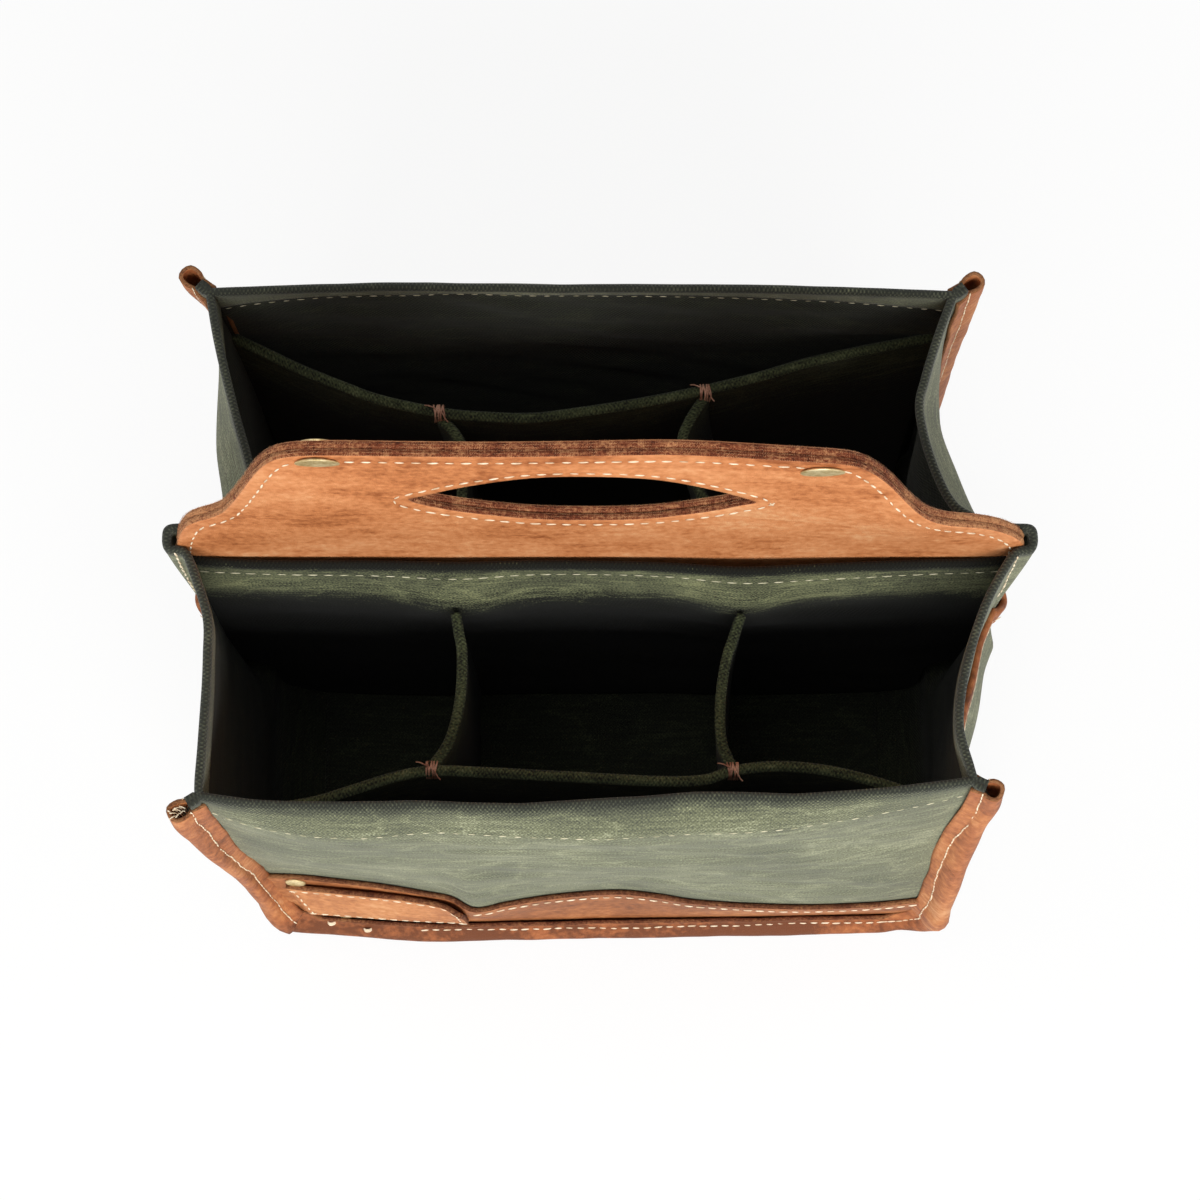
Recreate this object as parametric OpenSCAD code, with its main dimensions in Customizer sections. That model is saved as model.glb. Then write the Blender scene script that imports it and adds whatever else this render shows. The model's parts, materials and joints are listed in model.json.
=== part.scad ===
// Soft six pack carrier of waxed canvas and oiled leather.
// Front is -Y. The bag stands on its two bottom bindings, which rest on z = 0.

/* [Body] */
// Inside width between the two side gussets
body_w = 240; // [225:1:260]
// Inside depth between the front and back panels
body_d = 170; // [160:1:184]
// Height of the rim above the ground
rim_z = 183; // [170:1:200]
// Height of the inside of the floor above the ground
floor_z = 9.2; // [8.8:0.1:9.4]
// Inside radius of the two lower corners of the front and back panels
corner_r = 18; // [12:1:24]
// Height of a turned hem
hem_h = 12; // [8:1:14]
// How far the middle of the front and back panels swells out
swell_h = 8.2; // [4:0.2:8.4]

/* [Sheets] */
// Thickness of one ply of canvas
canvas_t = 1.2; // [0.8:0.1:1.4]
// Thickness of one ply of the handle's leather
handle_t = 2.5; // [2:0.1:3]
// Thickness of the leather of the base bands and the opener pocket
band_t = 2; // [1.6:0.1:2.2]
// Thickness of the leather of the bindings and pocket trims
trim_t = 1.6; // [1.2:0.1:1.8]

/* [Bindings] */
// Length of a seam's outward flange, which the binding covers
flange_l = 10; // [9.6:0.1:10.4]
// Height of the bindings' open upper ends above the rim
binding_rise = 1; // [0:0.5:3]

/* [Handle] */
// Height of the top of the handle
handle_z = 263; // [250:1:275]
// Length of the hand hole
grip_w = 104; // [90:1:110]
// Height of the hand hole
grip_h = 39; // [30:1:42]
// Height of the middle of the hand hole
grip_z = 226; // [220:1:230]
// Distance of each handle rivet from the middle
rivet_x = 73; // [68:1:75]
// Height of the handle rivets
rivet_z = 253; // [250:1:254]
// Height of the hidden lower edge of the handle's leather
handle_foot_z = 120; // [60:5:140]

/* [Ridges] */
// Inside distance of a side ridge from the middle plane
ridge_x = 135; // [132:1:138]
// Height at which a ridge leaves the side wall
ridge_z = 40; // [36:1:60]

/* [Cells] */
// Distance of each cross divider from the middle
cell_x = 46; // [42:1:48]
// Distance of the middle of a cell strip from the middle plane
strip_y = 70; // [69:1:74]
// Height of the cell strips and cross dividers
cell_z = 142; // [125:1:150]

/* [Pockets] */
// Height of the mouth of a side pocket
pocket_z = 122; // [110:1:130]
// Height of the leather trim below that mouth
pocket_trim_h = 12; // [8:1:14]
// Slack between a side pocket and the ridge inside it
pocket_slack = 0.3; // [0.2:0.1:0.5]
// Height of the base bands
band_z = 52; // [48:1:60]
// Left edge, right edge, lower edge and upper edge of the opener pocket
opener_box = [-110, -48, 17.5, 44];
// How far the opener pocket's left edge leans in at its foot
opener_lean = 9; // [6:1:10]

/* [Hidden] */
$fn = 64;

canvas_green = "#6f7a58";
canvas_dark = "#565f45";
leather_tan = "#c4824f";
leather_trim = "#b3713f";
brass = "#a98c4c";
thread_copper = "#b87060";

half_w = body_w / 2;
half_d = body_d / 2;
corner_z = floor_z + corner_r;
corner_x = half_w - corner_r;

// The seams' flanges stand out at 45 degrees
flange_run = flange_l / sqrt(2);
// Shift of one canvas ply across a flange, along each axis
ply_shift = canvas_t / sqrt(2);
// Where a canvas wall's outer face meets its flange's outer face
wall_bend = canvas_t * (1 - sqrt(2));
// Length of wall that each seam section carries
seam_lap = 1;

// A binding is a folded strip, round at its closed edge
binding_half = canvas_t + trim_t;
binding_start = 1.5;
binding_turn = flange_l - 0.3;

// The divider plies stand on either side of the handle's two plies
divider_out = handle_t + canvas_t;
ridge_out = divider_out + canvas_t;
// Gap between an edge and the canvas it stands in
edge_gap = 0.2;

strip_t = 2 * canvas_t;
strip_gap = 0.8;
strip_end = half_w - 0.4;
hem_side_gap = 3;
front_face = half_d + canvas_t;
band_face = front_face + band_t;
band_inset = 1.2;
opener_face = band_face + band_t;

// Rings of a panel's swell: half width, lower edge, upper edge and height
swell_top = rim_z - hem_h - 1;
swell_rings = [
    [half_w - 6, band_z + 2, swell_top, -0.5],
    [half_w - 6, band_z + 2, swell_top, 0],
    [half_w - 20, band_z + 16, swell_top - 9, 0.7 * swell_h],
    [half_w - 54, band_z + 38, swell_top - 22, swell_h]
];

rivet_cap_r = 6.5;
rivet_cap_h = 1.6;
rivet_post_r = 1.8;
post_clearance = 0.1;

pocket_rivet_r = 3.6;
pocket_rivet_h = 1.2;
pocket_rivet_post_r = 1.3;
pocket_rivet_back_r = 3;
pocket_rivet_back_h = 0.8;
pocket_rivets = [[-105, 48], [-96, 13.8]];

bar_tack = [6, 5, 1.2];
pocket_end_gap = 1.5;
big = 400;

// Points of a cubic curve from p0 to p3, pulled towards p1 and p2
function curve(p0, p1, p2, p3, steps = 8) =
    [for (i = [0:steps]) let (u = i / steps, v = 1 - u)
        v * v * v * p0 + 3 * v * v * u * p1 + 3 * v * u * u * p2 + u * u * u * p3];

// Right half of the handle from its top corner to the ear inside the ridge
ear_x = ridge_x - edge_gap;
handle_side = concat(
    curve([74, handle_z], [82, handle_z], [85, handle_z - 4], [88, handle_z - 11]),
    curve([88, handle_z - 11], [97, 230], [102, 210], [118, 207.5]),
    curve([118, 207.5], [126, 206], [131, 190], [ear_x, 172]),
    [[ear_x, handle_foot_z]]
);
handle_mirror = [for (i = [len(handle_side) - 1:-1:0]) [-handle_side[i][0], handle_side[i][1]]];

// Extrudes an outline drawn in x and z along y, from y0 over a thickness t
module face_slab(y0, t) {
    translate([0, y0 + t, 0]) rotate([90, 0, 0]) linear_extrude(t) children();
}

// Extrudes an outline drawn in y and z along x, from x0 over a thickness t
module side_slab(x0, t) {
    translate([x0, 0, 0]) rotate([90, 0, 90]) linear_extrude(t) children();
}

// The bag's outline seen from the front, drawn in x and z, moved in by inset
module bag_outline(inset, top) {
    r = corner_r - inset;
    translate([-half_w + inset, corner_z]) square([body_w - 2 * inset, top - corner_z]);
    translate([-corner_x, floor_z + inset]) square([2 * corner_x, r]);
    for (side = [-1, 1]) translate([side * corner_x, corner_z]) circle(r);
}

// Runs of a seam section along the front panel's edge. The section is drawn
// with x away from the bag and y forward, from the inner corner of the seam.
module seam_side(top) {
    translate([half_w, -half_d, corner_z])
        linear_extrude(top - corner_z) mirror([0, 1]) children();
}
module seam_corner() {
    translate([corner_x, -half_d, corner_z]) rotate([-90, 0, 0])
        rotate_extrude(angle = 90) translate([corner_r, 0]) mirror([0, 1]) children();
}
module seam_bottom() {
    translate([-corner_x, -half_d, floor_z]) rotate([0, 90, 0])
        linear_extrude(2 * corner_x) mirror([0, 1]) children();
}

// The panel's half of a seam's flange
module panel_section() {
    polygon([
        [-seam_lap, 0], [0, 0], [flange_run, flange_run],
        [flange_run - ply_shift, flange_run + ply_shift], [wall_bend, canvas_t], [-seam_lap, canvas_t]
    ]);
}
// The gusset's or floor's half of the same flange
module gusset_section() {
    polygon([
        [0, -seam_lap], [0, 0], [flange_run, flange_run],
        [flange_run + ply_shift, flange_run - ply_shift], [canvas_t, wall_bend], [canvas_t, -seam_lap]
    ]);
}
// The folded leather strip over the flange
module binding_section() {
    rotate(45) difference() {
        union() {
            translate([binding_start, -binding_half])
                square([binding_turn - binding_start, 2 * binding_half]);
            translate([binding_turn, 0]) circle(binding_half);
        }
        translate([0, -canvas_t]) square([flange_l, 2 * canvas_t]);
    }
}

// The panel's swell as a solid that stands on y = 0 towards -Y, one ring of
// four corners for each level
module swell_block() {
    last = 4 * (len(swell_rings) - 1);
    polyhedron(
        points = [for (ring = swell_rings, corner = [[-1, 1], [1, 1], [1, 2], [-1, 2]])
            [corner[0] * ring[0], -ring[3], ring[corner[1]]]],
        faces = concat(
            [[0, 1, 2, 3], [last + 3, last + 2, last + 1, last]],
            [for (i = [0:4:last - 4], k = [0:3]) let (n = (k + 1) % 4)
                [i + k, i + k + 4, i + n + 4, i + n]]
        )
    );
}

// Front panel: swelling wall, turned hem and the flanges along three edges
module panel() {
    color(canvas_green) difference() {
        union() {
            face_slab(-front_face, canvas_t) bag_outline(seam_lap, rim_z);
            translate([0, -front_face, 0]) swell_block();
            translate([-half_w + hem_side_gap, -half_d, rim_z - hem_h])
                cube([body_w - 2 * hem_side_gap, canvas_t, hem_h]);
            for (side = [0, 1]) mirror([side, 0, 0]) {
                seam_side(rim_z) panel_section();
                seam_corner() panel_section();
            }
            seam_bottom() panel_section();
        }
        translate([0, -half_d, 0]) swell_block();
        children();
    }
}

// Side ridge seen from the front: the handle's ear stands inside it. It is
// moved out from the cavity by g, and its foot slopes at 45 degrees.
module ridge_outline(g, top, from = half_w) {
    rise = from - half_w - g * sqrt(2);
    polygon([
        [from, ridge_z + rise], [ridge_x + g, ridge_z + ridge_x - half_w + g - g * sqrt(2)],
        [ridge_x + g, top], [from, top]
    ]);
}

// Right gusset: side wall, lower corner, hem, flanges and the outward ridge
module gusset() {
    color(canvas_green) {
        difference() {
            union() {
                face_slab(-half_d + seam_lap, body_d - 2 * seam_lap) intersection() {
                    difference() {
                        bag_outline(-canvas_t, rim_z);
                        bag_outline(0, rim_z + 1);
                    }
                    translate([corner_x, 0]) square([big, rim_z]);
                }
                for (back = [0, 1]) mirror([0, back, 0]) {
                    seam_side(rim_z) gusset_section();
                    seam_corner() gusset_section();
                    translate([half_w - canvas_t, -half_d + hem_side_gap, rim_z - hem_h])
                        cube([canvas_t, half_d - hem_side_gap - ridge_out, hem_h]);
                }
                face_slab(-ridge_out, 2 * ridge_out) ridge_outline(canvas_t, rim_z);
            }
            face_slab(-divider_out, 2 * divider_out) ridge_outline(0, rim_z + 1, half_w - 1);
        }
    }
}

// Floor between the two lower corners, with a flange down into each binding
module bottom_panel() {
    color(canvas_green) {
        translate([-corner_x, -half_d + seam_lap, floor_z - canvas_t])
            cube([2 * corner_x, body_d - 2 * seam_lap, canvas_t]);
        for (back = [0, 1]) mirror([0, back, 0]) seam_bottom() gusset_section();
    }
}

// One canvas ply of the centre divider, with its ears in the ridges
module divider_ply() {
    color(canvas_green) {
        face_slab(-divider_out, canvas_t) {
            bag_outline(edge_gap, rim_z);
            for (side = [0, 1]) mirror([side, 0]) ridge_outline(-edge_gap, rim_z, half_w - 2);
        }
        translate([-half_w + hem_side_gap, -ridge_out, rim_z - hem_h])
            cube([body_w - 2 * hem_side_gap, canvas_t, hem_h]);
    }
}

// The hand hole, a pointed oval of two arcs
module grip_hole() {
    arc_r = (grip_w * grip_w / 4 + grip_h * grip_h / 4) / grip_h;
    drop = arc_r - grip_h / 2;
    intersection() {
        translate([0, grip_z - drop]) circle(arc_r, $fn = 96);
        translate([0, grip_z + drop]) circle(arc_r, $fn = 96);
    }
}

// One leather ply of the handle, from y0 back over its thickness
module handle_ply(y0) {
    color(leather_tan) difference() {
        face_slab(y0, handle_t) difference() {
            polygon(concat(handle_side, handle_mirror));
            grip_hole();
        }
        for (side = [-1, 1]) translate([side * rivet_x, y0 - 1, rivet_z]) rotate([-90, 0, 0])
            cylinder(r = rivet_post_r + post_clearance, h = handle_t + 2);
    }
}

// A shallow domed cap with its flat face on y = 0 and its dome towards -Y
module dome(r, h) {
    dome_r = (r * r + h * h) / (2 * h);
    rotate([90, 0, 0]) rotate_extrude() intersection() {
        translate([0, h - dome_r]) circle(dome_r, $fn = 96);
        square([r, h]);
    }
}

module handle_rivet_caps() {
    color(brass) for (side = [-1, 1]) translate([side * rivet_x, -handle_t, rivet_z]) {
        dome(rivet_cap_r, rivet_cap_h);
        rotate([-90, 0, 0]) translate([0, 0, -0.2]) cylinder(r = rivet_post_r, h = 2 * handle_t + 0.2);
    }
}

module handle_rivet_backs() {
    color(brass) for (side = [-1, 1]) translate([side * rivet_x, handle_t, rivet_z])
        mirror([0, 1, 0]) dome(rivet_cap_r, rivet_cap_h);
}

// Folded canvas strip in front of the front cells, from corner to corner
module cell_strip() {
    color(canvas_dark) intersection() {
        linear_extrude(cell_z) polygon([
            [-strip_end, -half_d + 0.2], [-cell_x, -strip_y], [cell_x, -strip_y],
            [strip_end, -half_d + 0.2], [strip_end, -half_d + 0.2 + strip_t],
            [cell_x, -strip_y + strip_t], [-cell_x, -strip_y + strip_t],
            [-strip_end, -half_d + 0.2 + strip_t]
        ]);
        face_slab(-half_d, half_d) bag_outline(strip_gap, cell_z);
    }
}

// Cross divider between the centre divider and the front strip
module cell_divider(side) {
    color(canvas_dark)
        translate([side * cell_x - strip_t / 2, -strip_y + strip_t, floor_z + strip_gap])
        cube([strip_t, strip_y - strip_t - divider_out, cell_z - floor_z - strip_gap]);
}

// Bars of thread over the top of each joint of a strip and a cross divider
module cell_bar_tacks() {
    color(thread_copper) for (side = [-1, 1], end = [-1, 1])
        translate([side * cell_x - bar_tack[0] / 2, end * (strip_y - strip_t / 2) - bar_tack[1] / 2, cell_z])
        cube(bar_tack);
}

// Solid ridge block of a layer that lies g outside the ridge's cavity
module ridge_block(g, top) {
    half = divider_out + g;
    face_slab(-half, 2 * half) ridge_outline(g, top);
}

pocket_in = canvas_t + pocket_slack;
pocket_out = pocket_in + canvas_t;
pocket_half_d = half_d - pocket_end_gap;

// Right side pocket: a canvas layer over the lower part of the gusset
module side_pocket() {
    color(canvas_green) difference() {
        union() {
            side_slab(half_w + canvas_t, canvas_t) translate([-pocket_half_d, corner_z])
                square([2 * pocket_half_d, pocket_z - corner_z]);
            intersection() {
                ridge_block(pocket_out, pocket_z);
                translate([half_w + canvas_t, -half_d, 0]) cube([big, body_d, rim_z]);
            }
        }
        ridge_block(pocket_in, rim_z);
    }
}

// Leather trim folded over the mouth of the right side pocket
module pocket_trim() {
    foot = pocket_z - pocket_trim_h;
    color(leather_trim) difference() {
        intersection() {
            union() {
                side_slab(half_w + canvas_t, canvas_t + trim_t) translate([-pocket_half_d, foot])
                    square([2 * pocket_half_d, pocket_trim_h + trim_t]);
                ridge_block(pocket_out + trim_t, rim_z);
            }
            translate([half_w + canvas_t, -half_d, foot]) cube([big, body_d, pocket_trim_h + trim_t]);
        }
        ridge_block(pocket_in, rim_z);
        ridge_block(pocket_out, pocket_z);
        translate([half_w, -half_d, 0]) cube([2 * canvas_t, body_d, pocket_z]);
    }
}

// Leather band over the foot of the front panel
module base_band() {
    color(leather_tan) difference() {
        face_slab(-band_face, band_t) intersection() {
            bag_outline(band_inset, rim_z);
            translate([-half_w, 0]) square([body_w, band_z]);
        }
        children();
    }
}

module opener_pocket() {
    color(leather_tan) face_slab(-opener_face, band_t) polygon([
        [opener_box[0], opener_box[3]], [opener_box[0] + opener_lean, opener_box[2]],
        [opener_box[1], opener_box[2]], [opener_box[1], opener_box[3]]
    ]);
}

module pocket_rivet_bores() {
    for (p = pocket_rivets) translate([p[0], -band_face - 1, p[1]]) rotate([-90, 0, 0])
        cylinder(r = pocket_rivet_post_r + post_clearance, h = band_t + canvas_t + 2);
}

module opener_pocket_rivets() {
    color(brass) for (p = pocket_rivets) translate([p[0], -band_face, p[1]]) {
        dome(pocket_rivet_r, pocket_rivet_h);
        rotate([-90, 0, 0]) translate([0, 0, -0.2])
            cylinder(r = pocket_rivet_post_r, h = band_t + canvas_t + 0.4);
        translate([0, band_t + canvas_t, 0]) rotate([-90, 0, 0])
            cylinder(r = pocket_rivet_back_r, h = pocket_rivet_back_h);
    }
}

// Cuts the flat strip that the bag rests on
module on_ground() {
    difference() {
        children();
        translate([-half_w - 20, -half_d - 20, -10]) cube([body_w + 40, body_d + 40, 10]);
    }
}

// One strip along the bottom seam, round the lower right corner and up
module long_binding() {
    color(leather_trim) on_ground() {
        seam_bottom() binding_section();
        seam_corner() binding_section();
        seam_side(rim_z + binding_rise) binding_section();
    }
}

// The shorter strip down the left seam and round its lower corner
module short_binding() {
    color(leather_trim) on_ground() mirror([1, 0, 0]) {
        seam_corner() binding_section();
        seam_side(rim_z + binding_rise) binding_section();
    }
}

panel() pocket_rivet_bores();  // front_panel
rotate([0, 0, 180]) panel();  // back_panel
mirror([1, 0, 0]) gusset();  // left_gusset
gusset();  // right_gusset
bottom_panel();
divider_ply();  // divider_front_ply
mirror([0, 1, 0]) divider_ply();  // divider_back_ply
handle_ply(-handle_t);  // handle_front_ply
handle_ply(0);  // handle_back_ply
handle_rivet_caps();
handle_rivet_backs();
cell_strip();  // front_cell_strip
mirror([0, 1, 0]) cell_strip();  // back_cell_strip
cell_divider(-1);  // front_left_cell_divider
cell_divider(1);  // front_right_cell_divider
mirror([0, 1, 0]) cell_divider(-1);  // back_left_cell_divider
mirror([0, 1, 0]) cell_divider(1);  // back_right_cell_divider
cell_bar_tacks();
mirror([1, 0, 0]) side_pocket();  // left_side_pocket
side_pocket();  // right_side_pocket
mirror([1, 0, 0]) pocket_trim();  // left_pocket_trim
pocket_trim();  // right_pocket_trim
base_band() pocket_rivet_bores();  // front_base_band
rotate([0, 0, 180]) base_band();  // back_base_band
opener_pocket();
opener_pocket_rivets();
long_binding();  // front_binding
short_binding();  // front_binding_left
rotate([0, 0, 180]) long_binding();  // back_binding
rotate([0, 0, 180]) short_binding();  // back_binding_right
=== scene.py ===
# %% [markdown]
# # A six pack carrier in waxed canvas and oiled leather
#
# The real bag is sewn flat and then turned into a box: two canvas panels, two gussets and a
# floor meet in seams that stand outward, and a folded strip of leather covers each seam.
# A handle of two thick leather plies rises between the two plies of a canvas divider, and
# its ears stand inside a fold of each gusset. Folded canvas strips make six cells.
#
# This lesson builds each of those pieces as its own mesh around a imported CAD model, which
# gives every size and place. Canvas and leather are grids of points from small formulas,
# because a formula can bulge, fold and crease a sheet and still keep it joined to the next.

# %% Load the frame
import json
import math
from functools import partial

import bmesh
import bpy
import numpy as np
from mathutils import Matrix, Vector, noise

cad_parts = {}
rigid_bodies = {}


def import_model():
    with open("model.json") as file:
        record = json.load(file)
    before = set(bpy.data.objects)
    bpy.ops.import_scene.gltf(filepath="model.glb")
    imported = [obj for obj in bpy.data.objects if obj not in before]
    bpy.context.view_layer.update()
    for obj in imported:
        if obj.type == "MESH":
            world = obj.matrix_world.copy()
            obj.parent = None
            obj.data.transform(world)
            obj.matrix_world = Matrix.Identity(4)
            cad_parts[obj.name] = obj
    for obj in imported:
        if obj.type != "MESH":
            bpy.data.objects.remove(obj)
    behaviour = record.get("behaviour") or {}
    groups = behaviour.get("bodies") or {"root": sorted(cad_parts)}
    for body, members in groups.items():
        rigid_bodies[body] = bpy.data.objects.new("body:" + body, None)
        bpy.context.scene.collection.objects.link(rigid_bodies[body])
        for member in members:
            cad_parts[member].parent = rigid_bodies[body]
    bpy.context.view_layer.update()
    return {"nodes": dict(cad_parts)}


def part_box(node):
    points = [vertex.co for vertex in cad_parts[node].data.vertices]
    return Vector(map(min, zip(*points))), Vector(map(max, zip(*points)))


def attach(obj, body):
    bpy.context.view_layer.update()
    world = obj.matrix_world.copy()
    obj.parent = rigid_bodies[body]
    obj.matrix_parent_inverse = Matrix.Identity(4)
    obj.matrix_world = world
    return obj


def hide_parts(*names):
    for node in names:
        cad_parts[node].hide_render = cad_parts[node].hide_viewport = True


for leftover in list(bpy.data.objects):
    bpy.data.objects.remove(leftover)
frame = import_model()
MM = 0.001
print("CAD pieces:", len(frame["nodes"]))

# %% [markdown]
# ## Sizes
#
# The scene keeps no second set of dimensions: the main ones are read from the boxes of the
# CAD pieces, in millimetres, which are easier to think in than metres. What follows are the
# soft shapes that a rigid model leaves out, such as how far the rim has moved to the left.

# %% Sizes from the frame
def far_corner(node):
    """The corner of a CAD piece's box with the highest x, y and z, in millimetres."""
    _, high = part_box(node)
    return np.array(high) / MM


CANVAS = 1.2
BAND = 2.0
TRIM = 1.6
HANDLE_PLY = 2.5
CORNER_R = 18.0
# Leather is drawn a little thinner than it is in the CAD model, so that its layers stay apart
BAND_SHEET = 1.7
PATCH_SHEET = 1.8
BINDING_SHEET = 1.35
POCKET_TRIM_SHEET = 1.0

CORNER_X, _, FLOOR = far_corner("bottom_panel")
_, band_back, BAND_Z = far_corner("front_base_band")
RIM = far_corner("front_panel")[2]
HANDLE_Z = far_corner("handle_front_ply")[2]
CELL_Z = far_corner("front_cell_strip")[2]
POCKET_Z = far_corner("right_side_pocket")[2]
HALF_W = CORNER_X + CORNER_R
HALF_D = -band_back - CANVAS
CORNER_Z = FLOOR + CORNER_R
# A run is a distance along the cloth, from the rim down the wall and round the foot
SIDE_RUN = RIM - CORNER_Z
CORNER_RUN = CORNER_R * math.pi / 2
EDGE_RUN = SIDE_RUN + CORNER_RUN
print(f"body {2 * HALF_W:.0f} x {2 * HALF_D:.0f}, rim {RIM:.0f}, handle {HANDLE_Z:.0f} mm")

# %% [markdown]
# ## Camera
#
# The photograph looks down on the bag from in front, 73 degrees above the horizon and about
# a metre away. The lens follows from the perspective: the front rim is much larger than the
# back one, so the camera is near and not a long lens far away.

# %% Camera
def put_in_scene(name, data):
    """A new object for a mesh, a lamp or a camera, in the scene."""
    made = bpy.data.objects.new(name, data)
    bpy.context.scene.collection.objects.link(made)
    return made


CAMERA_ELEVATION = 73.13
CAMERA_PLACE = (0, -0.264, 0.986)
LENS_MM = 80.2
SENSOR_MM = 36
camera_data = bpy.data.cameras.new("photo_camera")
camera_data.lens = LENS_MM
camera_data.sensor_width = SENSOR_MM
camera_data.clip_start = 0.05
camera = put_in_scene("photo_camera", camera_data)
camera.location = CAMERA_PLACE
camera.rotation_euler = (math.radians(90 - CAMERA_ELEVATION), 0, 0)
bpy.context.scene.camera = camera

# %% [markdown]
# ## Small helpers
#
# Colours are written as the hex values that a screen shows, and one function turns them into
# the linear values that a renderer works in. A second adds a node with its settings and its
# links in one line, which keeps a long material readable.

# %% Colour and node helpers
def srgb(hex_code):
    """Linear colour of an sRGB hex code such as 8c9678."""
    parts = [int(hex_code[i:i + 2], 16) / 255 for i in (0, 2, 4)]
    return tuple(c / 12.92 if c <= 0.04045 else ((c + 0.055) / 1.055) ** 2.4 for c in parts) + (1,)


def set_inputs(tree, node, inputs):
    """Fills a node's inputs: a socket is linked, a node gives its first output, a value is set."""
    for key, value in inputs.items():
        if isinstance(value, bpy.types.Node):
            value = value.outputs[0]
        if isinstance(value, bpy.types.NodeSocket):
            tree.links.new(value, node.inputs[key])
        else:
            node.inputs[key].default_value = value


def add_node(tree, kind, inputs=None, **settings):
    """Adds a node with its settings and its inputs."""
    made = tree.nodes.new(kind)
    for name, value in settings.items():
        setattr(made, name, value)
    set_inputs(tree, made, inputs or {})
    return made


def new_material(name):
    """A material with an empty tree, its shader and its output."""
    material = bpy.data.materials.new(name)
    material.use_nodes = True
    tree = material.node_tree
    tree.nodes.clear()
    shader = add_node(tree, "ShaderNodeBsdfPrincipled")
    add_node(tree, "ShaderNodeOutputMaterial", {"Surface": shader})
    return material, tree, shader


def blend_colours(tree, factor, stops):
    """A colour ramp over factor. stops are (position, hex code)."""
    ramp = add_node(tree, "ShaderNodeValToRGB", {"Fac": factor})
    elements = ramp.color_ramp.elements
    while len(elements) < len(stops):
        elements.new(0.5)
    for element, (position, hex_code) in zip(elements, stops):
        element.position = position
        element.color = srgb(hex_code)
    return ramp.outputs["Color"]


# %% [markdown]
# ## Waxed canvas
#
# Duck canvas is a plain weave of thick cotton threads, here soaked in wax. The wax makes it
# dull and a little uneven, and it turns pale along lines where the cloth has been creased. Each
# thread is about half a millimetre wide, which is close to a pixel, so the weave is drawn a
# little coarser to show at all. It follows the sheet's own UV map, which is in metres.

# %% Waxed canvas material
THREAD_PITCH = 0.66 * MM
# Sideways wander of the threads, in metres
THREAD_DRIFT = (0.0009, 0.0009, 0.0)
# Where the four shades of a canvas lie on its colour ramp
CANVAS_STOPS = (0.24, 0.475, 0.625, 0.76)


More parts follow.
